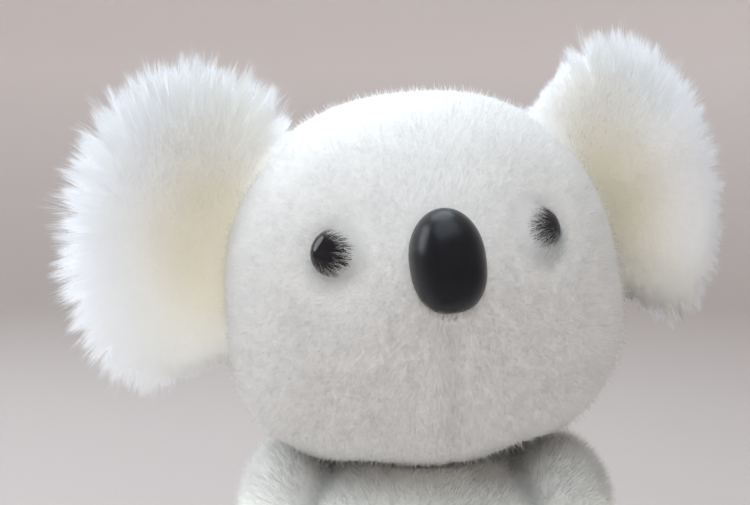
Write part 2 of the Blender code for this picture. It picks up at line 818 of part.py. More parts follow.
def make_limb(name, side, seat, size, turned, finishes, floor=None):
    """A limb's cover, open where it is sewn on, and its filling."""

    def form(inward, step=1):
        rows = mirrored(limb_rows(size, inward, step), side)
        mesh = loft(rows)
        mesh.transform(turned.to_4x4())
        return mesh

    flat = side_slab(f"{name}_flat", side, SEAM_GAP / 2, size["length"] + OVERRUN, True, seat)
    cover = add(f"{name}_cover", form(0.0), finishes["fur"], seat)
    core = cutter(f"{name}_core", form(CLOTH, INNER_STEP), seat)
    combine(cover, "DIFFERENCE", [core, flat])
    filling = add(f"{name}_filling", form(CLOTH + FILLING_GAP, INNER_STEP), finishes["filling"], seat)
    combine(filling, "DIFFERENCE", [flat])
    if floor is not None:
        combine(cover, "DIFFERENCE", [floor])
    return cover


def make_limbs(torso, finishes):
    """Arms and legs, and the flats on the torso where they are sewn."""
    arm = {
        "half_width": ARM_HALF_WIDTH,
        "half_thickness": ARM_HALF_THICKNESS,
        "length": ARM_LENGTH,
        "centre_out": ARM_CENTRE_OUT,
        "drift": ARM_DRIFT,
    }
    leg = {
        "half_width": LEG_HALF_WIDTH,
        "half_thickness": LEG_HALF_THICKNESS,
        "length": LEG_LENGTH,
        "centre_out": LEG_CENTRE_OUT,
        "drift": LEG_DRIFT,
    }
    reach = BELLY_HALF_WIDTH + LEG_LENGTH + OVERRUN
    floor = slab("floor_flat", Vector((-reach, -reach, -OVERRUN)), Vector((reach, reach, 0)))
    downward = Matrix.Rotation(math.pi, 3, "X")
    forward = Matrix.Rotation(math.pi / 2, 3, "X")
    for side_name, side in SIDES.items():
        place = Vector((side * SHOULDER_SIDE, -SHOULDER_FORWARD, SHOULDER_HEIGHT))
        yaw = Matrix.Rotation(-side * SHOULDER_YAW, 3, "Z")
        tilt = Matrix.Rotation(-side * SHOULDER_TILT, 3, "Y")
        swing = Matrix.Rotation(-ARM_SWING, 3, "X")
        fixed = pivot(f"{side_name}_shoulder_seat", None, place, yaw @ tilt)
        shoulder = pivot(f"{side_name}_shoulder", None, place, yaw @ tilt @ swing)
        make_limb(f"{side_name}_arm", side, shoulder, arm, downward, finishes)
        cut_seat(f"{side_name}_shoulder", side, fixed, torso, reach)

        place = Vector((side * HIP_SIDE, -HIP_FORWARD, HIP_HEIGHT))
        yaw = Matrix.Rotation(-side * HIP_YAW, 3, "Z")
        hip = pivot(f"{side_name}_hip", None, place, yaw)
        make_limb(f"{side_name}_leg", side, hip, leg, forward, finishes, floor)
        cut_round_seat(f"{side_name}_hip", side, hip, torso)


def cut_seat(name, side, fixed, torso, reach):
    """Cuts the torso flat under a shoulder, and the inside of its cloth that much deeper."""
    for piece, inward in torso:
        edge = -SEAM_GAP / 2 - inward
        flat = side_slab(f"{name}_{piece.name}_flat", side, edge, reach, False, fixed)
        combine(piece, "DIFFERENCE", [flat])


def cut_round_seat(name, side, hip, torso):
    """Cuts a round flat into the torso under a hip, and the inside of its cloth deeper and wider."""
    for piece, inward in torso:
        radius = HIP_SEAT_RADIUS + inward
        rows = []
        for out in (-SEAM_GAP / 2 - inward, HIP_SIDE):
            rows.append(
                ring(
                    TORSO_COLUMNS,
                    lambda a, x=out: Vector((side * x, radius * math.cos(a), radius * math.sin(a))),
                )
            )
        combine(piece, "DIFFERENCE", [cutter(f"{name}_{piece.name}_flat", loft(rows), hip)])


def main():
    clear_scene()
    finishes = {
        "fur": material("pale fur", (0.79, 0.78, 0.76), 0.95),
        "ear": material("cream fur", (0.72, 0.66, 0.52), 0.95),
        "gloss": material("black plastic", (0.012, 0.012, 0.014), 0.25),
        "clear": material("white plastic", (0.80, 0.80, 0.78), 0.45),
        "filling": material("fibre filling", (0.86, 0.86, 0.85), 1.0),
        "bag": material("pellet bag cotton", (0.70, 0.68, 0.64), 0.9),
    }
    place = Vector((HEAD_SIDE, -HEAD_FORWARD, HEAD_HEIGHT))
    neck = pivot("neck_turn", None, place, Matrix.Rotation(HEAD_TURN, 3, "Z"))
    head = pivot("neck_tilt", neck, Vector(), Matrix.Rotation(-HEAD_TILT, 3, "Y"))
    make_head(head, finishes)
    for side_name, side in SIDES.items():
        make_ear(side_name, side, head, finishes)
    make_neck(neck, finishes)
    torso = make_torso(finishes)
    make_limbs(torso, finishes)


main()
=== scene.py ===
"""The finished look of a seated plush koala: soft skins, real strands of pile, eyes and nose.

Lengths are in metres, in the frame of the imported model. The toy faces -Y and its left is +X.
"""

import json
import math

import bpy
import numpy as np
from mathutils import Matrix, Vector
from mathutils.bvhtree import BVHTree
from mathutils.kdtree import KDTree

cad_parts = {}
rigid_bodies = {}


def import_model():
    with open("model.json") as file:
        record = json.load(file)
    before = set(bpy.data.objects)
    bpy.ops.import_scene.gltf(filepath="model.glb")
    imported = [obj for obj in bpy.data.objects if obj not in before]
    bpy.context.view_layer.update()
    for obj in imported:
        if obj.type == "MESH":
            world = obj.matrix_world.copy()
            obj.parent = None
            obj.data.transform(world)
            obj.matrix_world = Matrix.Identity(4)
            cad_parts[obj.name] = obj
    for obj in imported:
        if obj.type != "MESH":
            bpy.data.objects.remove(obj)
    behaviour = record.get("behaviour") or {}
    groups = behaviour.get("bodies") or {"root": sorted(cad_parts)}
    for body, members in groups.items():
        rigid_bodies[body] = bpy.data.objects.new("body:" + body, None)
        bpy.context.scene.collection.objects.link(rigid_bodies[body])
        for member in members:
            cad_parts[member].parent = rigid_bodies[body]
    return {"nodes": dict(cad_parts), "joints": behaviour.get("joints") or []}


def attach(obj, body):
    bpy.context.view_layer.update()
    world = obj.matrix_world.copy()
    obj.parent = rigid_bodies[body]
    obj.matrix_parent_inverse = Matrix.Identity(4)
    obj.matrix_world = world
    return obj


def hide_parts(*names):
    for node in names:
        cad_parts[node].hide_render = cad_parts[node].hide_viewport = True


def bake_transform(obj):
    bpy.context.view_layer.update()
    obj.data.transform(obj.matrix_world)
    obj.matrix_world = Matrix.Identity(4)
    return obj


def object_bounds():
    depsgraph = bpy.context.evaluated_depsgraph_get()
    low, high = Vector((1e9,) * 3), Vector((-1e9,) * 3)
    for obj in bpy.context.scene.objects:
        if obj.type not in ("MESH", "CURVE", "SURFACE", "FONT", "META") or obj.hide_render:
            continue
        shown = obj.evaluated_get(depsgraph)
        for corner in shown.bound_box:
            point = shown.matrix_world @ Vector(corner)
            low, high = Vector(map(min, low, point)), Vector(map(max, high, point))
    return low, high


for old in list(bpy.data.objects):
    bpy.data.objects.remove(old, do_unlink=True)

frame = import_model()
cad_box = [list(corner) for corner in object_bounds()]
rng = np.random.default_rng(20)

# The head, in its own frame: same form as the sewn cover
HEAD_PLACE = Vector((-0.002, -0.006, 0.225))
HEAD_TURN = math.radians(6.4)
HEAD_TILT = math.radians(6.0)
HEAD_HALF_WIDTH = 0.0785
HEAD_TAPER = 0.11
HEAD_CROWN = 0.0735
HEAD_CHIN = 0.0735
FACE_DEPTH = 0.058
NAPE_DEPTH = 0.064
HEAD_SQUARENESS = 2.45
MUZZLE_RISE = 0.011
MUZZLE_HALF_WIDTH = 0.026
MUZZLE_HALF_HEIGHT = 0.030
MUZZLE_DROP = 0.004
SEAM_DEPTH = 0.0028
SEAM_WIDTH = 0.0026
SEAM_TOP = -0.004
SEAM_FADE = 0.006
ROUND_ANGLE = math.radians(28.7)
SHAPED_ANGLE = math.radians(40)
HEAD_SKIN_DEPTH = 0.0006

EYE_RADIUS = 0.0086
EYE_DOME = 0.0062
EYE_PLUMP = 0.80
EYE_SPREAD = math.radians(36.2)
EYE_RISE = math.radians(17.0)
# By side: 1 is the toy's left eye, -1 its right
EYE_HAIRS = {1: 7000, -1: 3200}
EYE_HAIR_REACH = {1: 0.0062, -1: 0.0042}
EYE_HAIR_BELOW = {1: 0.9, -1: 0.25}
EYE_HAIR_DRIFT = {1: (0.10, 0.0, 0.0), -1: (-0.22, 0.12, 0.0)}
# Sockets and nose
SOCKET_DEPTH = 0.0020
SOCKET_WIDTH = 0.0095
NOSE_HALF_WIDTH = 0.0129
NOSE_HALF_HEIGHT = 0.0179
NOSE_DOME = 0.0150
NOSE_RISE = math.radians(11.6)
NOSE_TOP_POWER = 2.1
NOSE_TOP_ROUND = 0.50
NOSE_FOOT_POWER = 2.5
NOSE_PLUMP = 0.72
NOSE_HAIRS = 1800

# Ears, in the frame of each fold's axis
EAR_HINGE = (0.0845, 0.008, 0.0135)
EAR_LEAN = math.radians(15)
EAR_SWEEPS = {"left": math.radians(20), "right": math.radians(7)}
EAR_HALF_WIDTH = 0.0400
EAR_HALF_HEIGHT = 0.0570
EAR_OUTWARD = 0.0085
EAR_UPWARD = 0.0140
EAR_CUP = 0.0100
EAR_SQUARENESS = 2.2
EAR_PUFF = 0.0125
EAR_BACK_PUFF = 0.0068
EAR_HOLLOW_DEPTH = 0.0080

# Torso and limbs
BELLY_HALF_WIDTH = 0.070
BELLY_HALF_DEPTH = 0.060
BELLY_HEIGHT = 0.045
TORSO_REACH_UP = 0.1125
TORSO_REACH_DOWN = 0.0643
TORSO_SQUARENESS = 2.4
TORSO_SHOULDER_ANGLE = math.radians(65)
NECK_ANGLE = math.radians(18.5)
ARM = {"half_width": 0.0250, "half_thickness": 0.0185, "length": 0.0660, "centre_out": 0.0140,
       "drift": 0.0070}
LEG = {"half_width": 0.0240, "half_thickness": 0.0215, "length": 0.0800, "centre_out": 0.0140,
       "drift": 0.0300}
WRIST_PLACE, PAW_PLACE, DRIFT_END = 0.55, 0.90, 1.60
WRIST_WIDTH, PAW_WIDTH, LIMB_BLUNTNESS = 0.86, 0.98, 3.4

RIDGE_OUT, RIDGE_WIDTH, RIDGE_RISE, RIDGE_HEIGHTS = 0.0415, 0.0085, 0.0062, (0.085, 0.112)
NECK_ROOM = 0.0012
NECK_FUR_FROM, NECK_FUR_TO = 0.132, 0.146
ARM_FOLD_OUT, ARM_FOLD_HEIGHTS = 0.041, (0.100, 0.125)
ARM_YAW, ARM_SPREAD, ARM_FORWARD = math.radians(18), math.radians(24), math.radians(22)
LEG_YAW = math.radians(10)
FLOOR_GAP, SKIN_FLOOR_GAP = 0.0002, 0.0001

# Pile: strands to the square centimetre
HEAD_PILE, HEAD_GUARD = 420, 26
EAR_PILE, EAR_RIM, EAR_WISPS = 480, 400, 60
BODY_PILE = 320

WHITE = (0.93, 0.932, 0.928)
# White of the ears' rims: the pile's own white, made brighter and bluer as painted light of the cool
# window light on the rims.
RIM_WHITE_PAINTED_LIGHT = (0.95, 0.965, 1.0)
# Cream of the ears' hollows: partly the lining's own colour, partly painted shade of the hollow beside
# the root.
CREAM = (0.85, 0.80, 0.66)
BODY_WHITE = (0.93, 0.928, 0.905)
MOST_FACES = 180000
FUR_ALLOWANCE = 0.0155


def smooth_step(value, low, high):
    share = np.clip((np.asarray(value) - low) / (high - low), 0.0, 1.0)
    return share * share * (3 - 2 * share)


def bump(offset, width):
    return np.exp(-0.5 * (offset / width) ** 2)


def unit(v):
    return v / np.maximum(np.linalg.norm(v, axis=-1, keepdims=True), 1e-12)


def facing(spread, rise):
    return np.array((math.sin(spread) * math.cos(rise), -math.cos(spread) * math.cos(rise),
                     math.sin(rise)))


def head_reach(way):
    """Distance from the head's middle to its cover along unit directions."""
    x, y, z = way[..., 0], way[..., 1], way[..., 2]
    depth = np.where(y < 0, FACE_DEPTH, NAPE_DEPTH)
    height = np.where(z > 0, HEAD_CROWN, HEAD_CHIN)
    power = HEAD_SQUARENESS
    level = np.hypot(x / (HEAD_HALF_WIDTH * (1 - HEAD_TAPER * z)), y / depth)
    reach = (level**power + np.abs(z / height) ** power) ** (-1 / power)
    front = np.where(y < 0, 1.0, 0.0)
    sx, sz = x * reach, z * reach
    reach = reach - front * y * MUZZLE_RISE * bump(sx, MUZZLE_HALF_WIDTH) * bump(
        sz + MUZZLE_DROP, MUZZLE_HALF_HEIGHT)
    seam = 1 - smooth_step(sz, SEAM_TOP - SEAM_FADE, SEAM_TOP)
    reach = reach - front * SEAM_DEPTH * seam * bump(sx, SEAM_WIDTH)
    for side in (1, -1):
        apart = np.linalg.norm(way - facing(side * EYE_SPREAD, EYE_RISE), axis=-1) * reach
        reach = reach - front * SOCKET_DEPTH * bump(apart, SOCKET_WIDTH)
    from_below = np.arccos(np.clip(-z, -1, 1))
    shaped = smooth_step(from_below, ROUND_ANGLE, SHAPED_ANGLE)
    return HEAD_CHIN * (1 - shaped) + reach * shaped


HEAD_MATRIX = (Matrix.Translation(HEAD_PLACE) @ Matrix.Rotation(HEAD_TURN, 4, "Z")
               @ Matrix.Rotation(-HEAD_TILT, 4, "Y"))


def placed(points, matrix):
    m = np.array(matrix)
    return points @ m[:3, :3].T + m[:3, 3]


def turned(vectors, matrix):
    return vectors @ np.array(matrix)[:3, :3].T


# Meshes


def grid_faces(rows, columns):
    """Quads of a grid that closes round its columns."""
    i, j = np.meshgrid(np.arange(rows - 1), np.arange(columns), indexing="ij")
    a = i * columns + j
    b = i * columns + (j + 1) % columns
    return np.stack([a, b, b + columns, a + columns], -1).reshape(-1, 4)


def mesh_object(name, points, faces, material, tint=None, normals=None):
    data = bpy.data.meshes.new(name)
    size = faces.shape[1]
    data.vertices.add(len(points))
    data.vertices.foreach_set("co", np.asarray(points, np.float32).ravel())
    data.loops.add(faces.size)
    data.loops.foreach_set("vertex_index", faces.astype(np.int32).ravel())
    data.polygons.add(len(faces))
    data.polygons.foreach_set("loop_start", np.arange(0, faces.size, size, dtype=np.int32))
    data.update()
    data.shade_smooth()
    if tint is not None:
        layer = data.attributes.new("tint", "FLOAT_COLOR", "POINT")
        layer.data.foreach_set("color", np.c_[tint, np.ones(len(tint))].astype(np.float32).ravel())
    if normals is not None:
        data.normals_split_custom_set_from_vertices(normals.astype(np.float32))
    data.materials.append(material)
    made = bpy.data.objects.new(name, data)
    bpy.context.scene.collection.objects.link(made)
    return made


def vertex_normals(points, faces):
    tris = np.concatenate([faces[:, [0, 1, 2]], faces[:, [0, 2, 3]]])
    across = np.cross(points[tris[:, 1]] - points[tris[:, 0]], points[tris[:, 2]] - points[tris[:, 0]])
    normals = np.zeros_like(points)
    for k in range(3):
        np.add.at(normals, tris[:, k], across)
    return unit(normals)


class Skin:
    """A soft surface: its points, outward normals, quads, and a random scatter over it."""

    def __init__(self, points, faces):
        self.points, self.faces = points, faces
        self.normals = vertex_normals(points, faces)
        tris = np.concatenate([faces[:, [0, 1, 2]], faces[:, [0, 2, 3]]])
        corner = points[tris]
        area = 0.5 * np.linalg.norm(
            np.cross(corner[:, 1] - corner[:, 0], corner[:, 2] - corner[:, 0]), axis=1)
        keep = area > 1e-14
        self.tris, self.areas = tris[keep], area[keep]

    def scatter(self, per_cm2, weight=None):
        """Random spots and their normals, so many to the square centimetre of the surface."""
        weights = self.areas.copy()
        if weight is not None:
            weights *= weight(self.points[self.tris].mean(axis=1))
        count = int(per_cm2 * 1e4 * weights.sum())
        chosen = rng.choice(len(self.tris), count, p=weights / weights.sum())
        a, b = rng.random(count), rng.random(count)
        over = a + b > 1
        a[over], b[over] = 1 - a[over], 1 - b[over]
        t = self.tris[chosen]
        mix = np.stack([1 - a - b, a, b], 1)[:, :, None]
        return (self.points[t] * mix).sum(1), unit((self.normals[t] * mix).sum(1))


def strand_set(name, body, material, roots, ways, lengths, widths, normals, tints, bend=None,
               segments=1, gather=None, floor=None, tips=0.0, spin=0.5):
    """Tapered flat strands. ways are unit, bend is how far the tip is carried aside."""
    count = len(roots)
    if bend is None:
        bend = np.zeros((count, 3))
    if gather is None:
        gather = np.zeros((count, 3))
    across = unit(np.cross(ways, normals) + 1e-6)
    phase = rng.uniform(-spin, spin, (count, 1))
    across = across * np.cos(phase) + np.cross(ways, across) * np.sin(phase)
    rings, shade, colour = [], [], []
    root_tint, tip_tint = tints
    for k in range(segments + 1):
        t = k / segments
        middle = roots + ways * lengths[:, None] * t + bend * t * t + gather * t**1.3
        half = widths[:, None] / 2 * (1 - 0.45 * t)
        own = unit(normals + tips * t * ways)
        tone = root_tint * (1 - t) + tip_tint * t
        for aside in ((-half, half) if k < segments else (0.0,)):
            rings.append(middle + aside * across)
            shade.append(own)
            colour.append(tone)
    points, shade, colour = np.stack(rings, 1), np.stack(shade, 1), np.stack(colour, 1)
    if floor is not None:
        points[..., 2] = np.maximum(points[..., 2], floor)
    per = 2 * segments + 1
    local = []
    for k in range(0, 2 * segments - 2, 2):
        local += [(k, k + 1, k + 3), (k, k + 3, k + 2)]
    local.append((per - 3, per - 2, per - 1))
    local = np.array(local)
    most = MOST_FACES // len(local)
    made = []
    for part, start in enumerate(range(0, count, most)):
        stop = min(count, start + most)
        faces = (local[None] + per * np.arange(stop - start)[:, None, None]).reshape(-1, 3)
        made.append(mesh_object(f"{name}_{part + 1}", points[start:stop].reshape(-1, 3), faces, material,
                                colour[start:stop].reshape(-1, 3), shade[start:stop].reshape(-1, 3)))
    return made


# Materials


def new_material(name):
    """A material with its node tree and its shader."""
    made = bpy.data.materials.new(name)
    made.use_nodes = True
    return made, made.node_tree, made.node_tree.nodes["Principled BSDF"]


def join(tree, rows):
    """Link sockets, each row giving a node, its output, a node and its input."""
    for source, output, target, socket in rows:
        tree.links.new(source.outputs[output], target.inputs[socket])


def noise_node(tree, scale, detail):
    """Noise laid out in the object's own coordinates."""
    place = tree.nodes.new("ShaderNodeTexCoord")
    made = tree.nodes.new("ShaderNodeTexNoise")
    made.inputs["Scale"].default_value = scale
    made.inputs["Detail"].default_value = detail
    join(tree, [(place, "Object", made, "Vector")])
    return made


def range_node(tree, source, low, high):
    """A noise spread from low to high."""
    made = tree.nodes.new("ShaderNodeMapRange")
    made.inputs["To Min"].default_value = low
    made.inputs["To Max"].default_value = high
    join(tree, [(source, "Fac", made, "Value")])
    return made


def add_bump(tree, shader, height, strength, distance):
    made = tree.nodes.new("ShaderNodeBump")
    made.inputs["Strength"].default_value = strength
    made.inputs["Distance"].default_value = distance
    join(tree, [(height, "Fac", made, "Height"), (made, "Normal", shader, "Normal")])


def add_tint(tree, shader, scale, detail, low, high):
    """The mesh's own tint, lighter and darker by a noise, as the shader's colour."""
    tint = tree.nodes.new("ShaderNodeAttribute")
    tint.attribute_name = "tint"
    ramp = range_node(tree, noise_node(tree, scale, detail), low, high)
    mix = tree.nodes.new("ShaderNodeMix")
    mix.data_type = "RGBA"
    mix.blend_type = "MULTIPLY"
    mix.inputs["Factor"].default_value = 1.0
    join(tree, [(tint, "Color", mix, "A"), (ramp, "Result", mix, "B"),
                (mix, "Result", shader, "Base Color")])
    return mix


def fur_material(name, through):
    """Soft pile: each strand's tint, a slow faint change of shade, and light let through it."""
    made, tree, shader = new_material(name)
    shader.inputs["Roughness"].default_value = 0.85
    shader.inputs["Specular IOR Level"].default_value = 0.15
    mix = add_tint(tree, shader, 60.0, 3.0, 0.97, 1.03)
    if through:
        glow = tree.nodes.new("ShaderNodeBsdfTranslucent")
        both = tree.nodes.new("ShaderNodeMixShader")
        both.inputs["Fac"].default_value = through
        join(tree, [(mix, "Result", glow, "Color"), (shader, "BSDF", both, 1), (glow, "BSDF", both, 2),
                    (both, "Shader", tree.nodes["Material Output"], "Surface")])
    return made


def cloth_material(name, scale):
    """The same pile seen at its roots: tint, with a fine fibrous bump."""
    made = fur_material(name, 0.0)
    tree = made.node_tree
    add_bump(tree, tree.nodes["Principled BSDF"], noise_node(tree, scale, 5.0), 0.25, 0.0006)
    return made


def plastic_material(name, colour, roughness, grain, gloss=0.5):
    """Moulded plastic with a fine grain in its gloss."""
    made, tree, shader = new_material(name)
    shader.inputs["Specular IOR Level"].default_value = gloss
    worn = noise_node(tree, 160.0, 4.0)
    spread = range_node(tree, worn, roughness * 0.88, roughness * 1.15)
    shade = tree.nodes.new("ShaderNodeMix")
    shade.data_type = "RGBA"
    shade.inputs["A"].default_value = (*colour, 1.0)
    shade.inputs["B"].default_value = (*[min(1.0, c * 1.5 + 0.002) for c in colour], 1.0)
    join(tree, [(worn, "Fac", shade, "Factor"), (spread, "Result", shader, "Roughness"),
                (shade, "Result", shader, "Base Color")])
    add_bump(tree, shader, noise_node(tree, 2200.0, 2.0), grain, 0.00005)
    return made


def eye_material():
    """A domed eye's gloss, over the tint of its pupil, iris and edge."""
    made, tree, shader = new_material("domed_eye")
    shader.inputs["Roughness"].default_value = 0.06
    shader.inputs["Specular IOR Level"].default_value = 0.45
    add_tint(tree, shader, 700.0, 2.0, 0.7, 1.3)
    return made


PALE = cloth_material("pale_cloth", 900.0)
PALE_FUR = fur_material("pale_fur", 0.5)
EAR_CLOTH = cloth_material("ear_cloth", 700.0)
EAR_FUR = fur_material("ear_fur", 0.5)
# The nose's near-black is tinted blue: painted cool reflection.
NOSE_PLASTIC = plastic_material("nose_plastic", (0.001, 0.002, 0.005), 0.30, 0.25, 0.32)
WASHER_PLASTIC = plastic_material("washer_plastic", (0.78, 0.78, 0.75), 0.45, 0.2)
FIBRE = cloth_material("fibre_filling", 300.0)
BAG_COTTON = cloth_material("bag_cotton", 1500.0)
EYE = eye_material()


def jitter(count, size):
    return rng.normal(0.0, size, (count, 3))


def shade_of(colour, count, spread=0.012):
    return np.array(colour)[None] * (1 + rng.normal(0.0, spread, (count, 1)))


def tangent(vectors, normals):
    return unit(vectors - normals * (vectors * normals).sum(1, keepdims=True))


def airy(pieces, see_through=True):
    """Thin hairs that let light past, as loose white fibres do."""
    for piece in pieces:
        piece.visible_shadow = False
        piece.visible_diffuse = not see_through


def dress(pieces, body):
    for piece in pieces:
        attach(piece, body)


# Head


def head_skin():
    rows, columns = 130, 220
    from_top = np.linspace(0.0, math.pi, rows)
    share = np.linspace(-1, 1, columns, endpoint=False)
    angle = np.sign(share) * np.abs(share) ** 1.25 * math.pi
    t, a = np.meshgrid(from_top, angle, indexing="ij")
    way = np.stack([np.sin(a) * np.sin(t), -np.cos(a) * np.sin(t), np.cos(t)], -1).reshape(-1, 3)
    points = way * (head_reach(way) - HEAD_SKIN_DEPTH)[:, None]
    return Skin(points, grid_faces(rows, columns)[:, ::-1])


def eye_ways():
    return [facing(side * EYE_SPREAD, EYE_RISE) for side in (1, -1)]


def surface_frame(way):
    """Place and turn on the head's cover: the turned Z axis points straight out."""
    across = unit(np.cross(way, (0, 0, 1.0)))
    up = np.cross(across, way)
    span = 0.04
    spots = []
    for aside in (across, up):
        pair = unit(np.stack([way - span * aside, way + span * aside]))
        spots.append(pair * head_reach(pair)[:, None])
    out = unit(np.cross(spots[0][1] - spots[0][0], spots[1][1] - spots[1][0]))
    if out @ way < 0:
        out = -out
    side = unit(np.cross((0, 0, 1.0), out))
    matrix = Matrix.Identity(4)
    for row in range(3):
        for column, axis in enumerate((side, np.cross(out, side), out)):
            matrix[row][column] = axis[row]
        matrix[row][3] = way[row] * head_reach(way[None])[0]
    return matrix


def seam_share(points):
    """1 in the drawn-in seam under the nose, 0 away from it."""
    return (bump(points[:, 0], 0.0014) * smooth_step(-points[:, 2], 0.002, 0.010)
            * (points[:, 1] < 0))


def make_head():
    skin = head_skin()
    world = placed(skin.points, HEAD_MATRIX)
    # Painted shade: the skin's tint is darkened along the seam's groove under the nose.
    tint = np.array(WHITE) * (1 - 0.12 * seam_share(skin.points)[:, None])
    cover = mesh_object("head_skin", world, skin.faces, PALE, tint)
    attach(cover, "head")
    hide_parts("head_cover", "head_filling")

    nose_way = facing(0.0, NOSE_RISE)
    nose_matrix = surface_frame(nose_way)
    nose_spot = np.array(nose_matrix.translation)
    eyes = [np.array(surface_frame(way).translation) for way in eye_ways()]

    # Short dense pile, combed away from the nose
    spots, normals = skin.scatter(HEAD_PILE)
    to_eyes = np.array([np.linalg.norm(spots - eye, axis=1) for eye in eyes])
    apart = to_eyes.min(axis=0)
    seats = np.array([np.array(surface_frame(way))[:3, 2] for way in eye_ways()])
    seats = seats[to_eyes.argmin(axis=0)]
    beside = placed(spots, nose_matrix.inverted())
    on_nose = (beside[:, 0] / NOSE_HALF_WIDTH) ** 2 + (beside[:, 1] / NOSE_HALF_HEIGHT) ** 2
    keep = (apart > EYE_RADIUS * 0.97) & ((on_nose > 0.92) | (np.abs(beside[:, 2]) > 0.02))
    spots, normals, apart, seats = spots[keep], normals[keep], apart[keep], seats[keep]
    count = len(spots)
    flow = tangent(spots - nose_spot, normals)
    flow *= 1 - 0.50 * bump(apart - EYE_RADIUS, 0.0028)[:, None]
    near_seam = seam_share(spots)
    ways = unit(flow * 0.9 + normals * 0.70 + jitter(count, 0.16))
    lengths = rng.uniform(0.0020, 0.0032, count) * (1 - 0.45 * near_seam)
    lengths *= 1 + 0.35 * bump(apart - 0.010, 0.003)
    widths = rng.uniform(0.00013, 0.00019, count)
    roots = spots - normals * 0.0003
    by_eye = bump(apart - 0.0120, 0.0050)[:, None]
    shading = unit(normals * (1 - 0.9 * by_eye) + (seats + [0.0, -0.25, 0.35]) * by_eye)
    # Painted shade along the seam's groove, on the pile's tint as well.
    painted_seam_shade = 1 - 0.10 * near_seam[:, None]
    tints = (shade_of(WHITE, count) * painted_seam_shade, shade_of(WHITE, count) * painted_seam_shade)
    pile = strand_set("head_pile", "head", PALE_FUR, placed(roots, HEAD_MATRIX),
                      turned(ways, HEAD_MATRIX), lengths, widths, turned(shading, HEAD_MATRIX),
                      tints, tips=0.05)
    dress(pile, "head")

    # Sparse longer hairs that blur the outline
    spots, normals = skin.scatter(HEAD_GUARD)
    keep = np.min([np.linalg.norm(spots - eye, axis=1) for eye in [*eyes, nose_spot]], axis=0) > 0.02
    spots, normals = spots[keep], normals[keep]
    count = len(spots)
    flow = tangent(spots - nose_spot, normals)
    ways = unit(flow * 0.6 + normals * 1.0 + jitter(count, 0.25))
    lengths = rng.uniform(0.0030, 0.0052, count)
    tints = (shade_of(WHITE, count), shade_of(WHITE, count))
    guard = strand_set("head_guard", "head", PALE_FUR, placed(spots, HEAD_MATRIX),
                       turned(ways, HEAD_MATRIX), lengths, rng.uniform(0.00010, 0.00016, count),
                       turned(normals, HEAD_MATRIX), tints, tips=0.1,
                       bend=turned(jitter(count, 0.0006), HEAD_MATRIX), segments=2)
    dress(guard, "head")

    # Hairs that stand round each eye and lean over its edge, most on the side of the nose
    for side, way in zip((1, -1), eye_ways()):
        matrix = surface_frame(way)
        seat = HEAD_MATRIX @ matrix
        total = EYE_HAIRS[side]
        angle = rng.uniform(0, math.tau, total)
        toward_nose = np.cos(angle) * -side
        below = -np.sin(angle)
        odds = 0.06 + 0.94 * smooth_step(np.maximum(toward_nose, below * EYE_HAIR_BELOW[side]), -0.1, 0.7)
        keep = rng.random(total) < odds
        angle = angle[keep]
        count = len(angle)
        apart = rng.random(count) ** 1.7
        radius = EYE_RADIUS + 0.0006 + 0.0080 * apart
        local = np.stack([radius * np.cos(angle), radius * np.sin(angle), -0.0004 - 0.0018 * apart], 1)
        inward = -unit(local * [1, 1, 0])
        apart = apart[:, None]
        ways = unit(np.array([[0, 0, 1.0]]) + inward * (0.12 + 0.55 * apart)
                    + np.array([EYE_HAIR_DRIFT[side]]) + jitter(count, 0.12))
        lengths = rng.uniform(0.0054, 0.0078, count) * (1 - 0.45 * apart[:, 0])
        over = inward * rng.uniform(0.30, 1.0, (count, 1)) * (1 - 0.6 * apart) * EYE_HAIR_REACH[side]
        tints = (shade_of(WHITE, count), shade_of(WHITE, count))
        normals = np.tile(unit(np.array(seat)[:3, 2] + [0.0, -0.30, 0.40]), (count, 1))
        lash = strand_set(f"eye_fringe_{'left' if side > 0 else 'right'}", "head", PALE_FUR,
                          placed(local, seat), turned(ways, seat), lengths,
                          rng.uniform(0.00010, 0.00016, count), normals, tints, tips=0.1,
                          bend=turned(over + jitter(count, 0.0007), seat), segments=4)
        airy(lash)
        dress(lash, "head")

    # Hairs over the foot of the nose
    seat = HEAD_MATRIX @ nose_matrix
    angle = rng.uniform(0, math.tau, NOSE_HAIRS)
    odds = 0.12 + 0.88 * smooth_step(-np.sin(angle), 0.2, 0.9)
    angle = angle[rng.random(NOSE_HAIRS) < odds]
    count = len(angle)
    grow = 1 + rng.uniform(0.01, 0.16, count)
    local = np.stack([grow * NOSE_HALF_WIDTH * np.cos(angle), grow * NOSE_HALF_HEIGHT * np.sin(angle),
                      np.full(count, -0.001)], 1)
    inward = -unit(local * [1, 1, 0])
    ways = unit(np.array([[0, 0, 1.0]]) + inward * 0.22 + jitter(count, 0.14))
    tints = (shade_of(WHITE, count), shade_of(WHITE, count))
    fringe = strand_set("nose_fringe", "head", PALE_FUR, placed(local, seat), turned(ways, seat),
                        rng.uniform(0.0038, 0.0068, count), rng.uniform(0.00009, 0.00015, count),
                        np.tile(unit(np.array(seat)[:3, 2] + [0.0, -0.5, 0.6]), (count, 1)), tints,
                        tips=0.1, segments=2)
    airy(fringe)
    dress(fringe, "head")


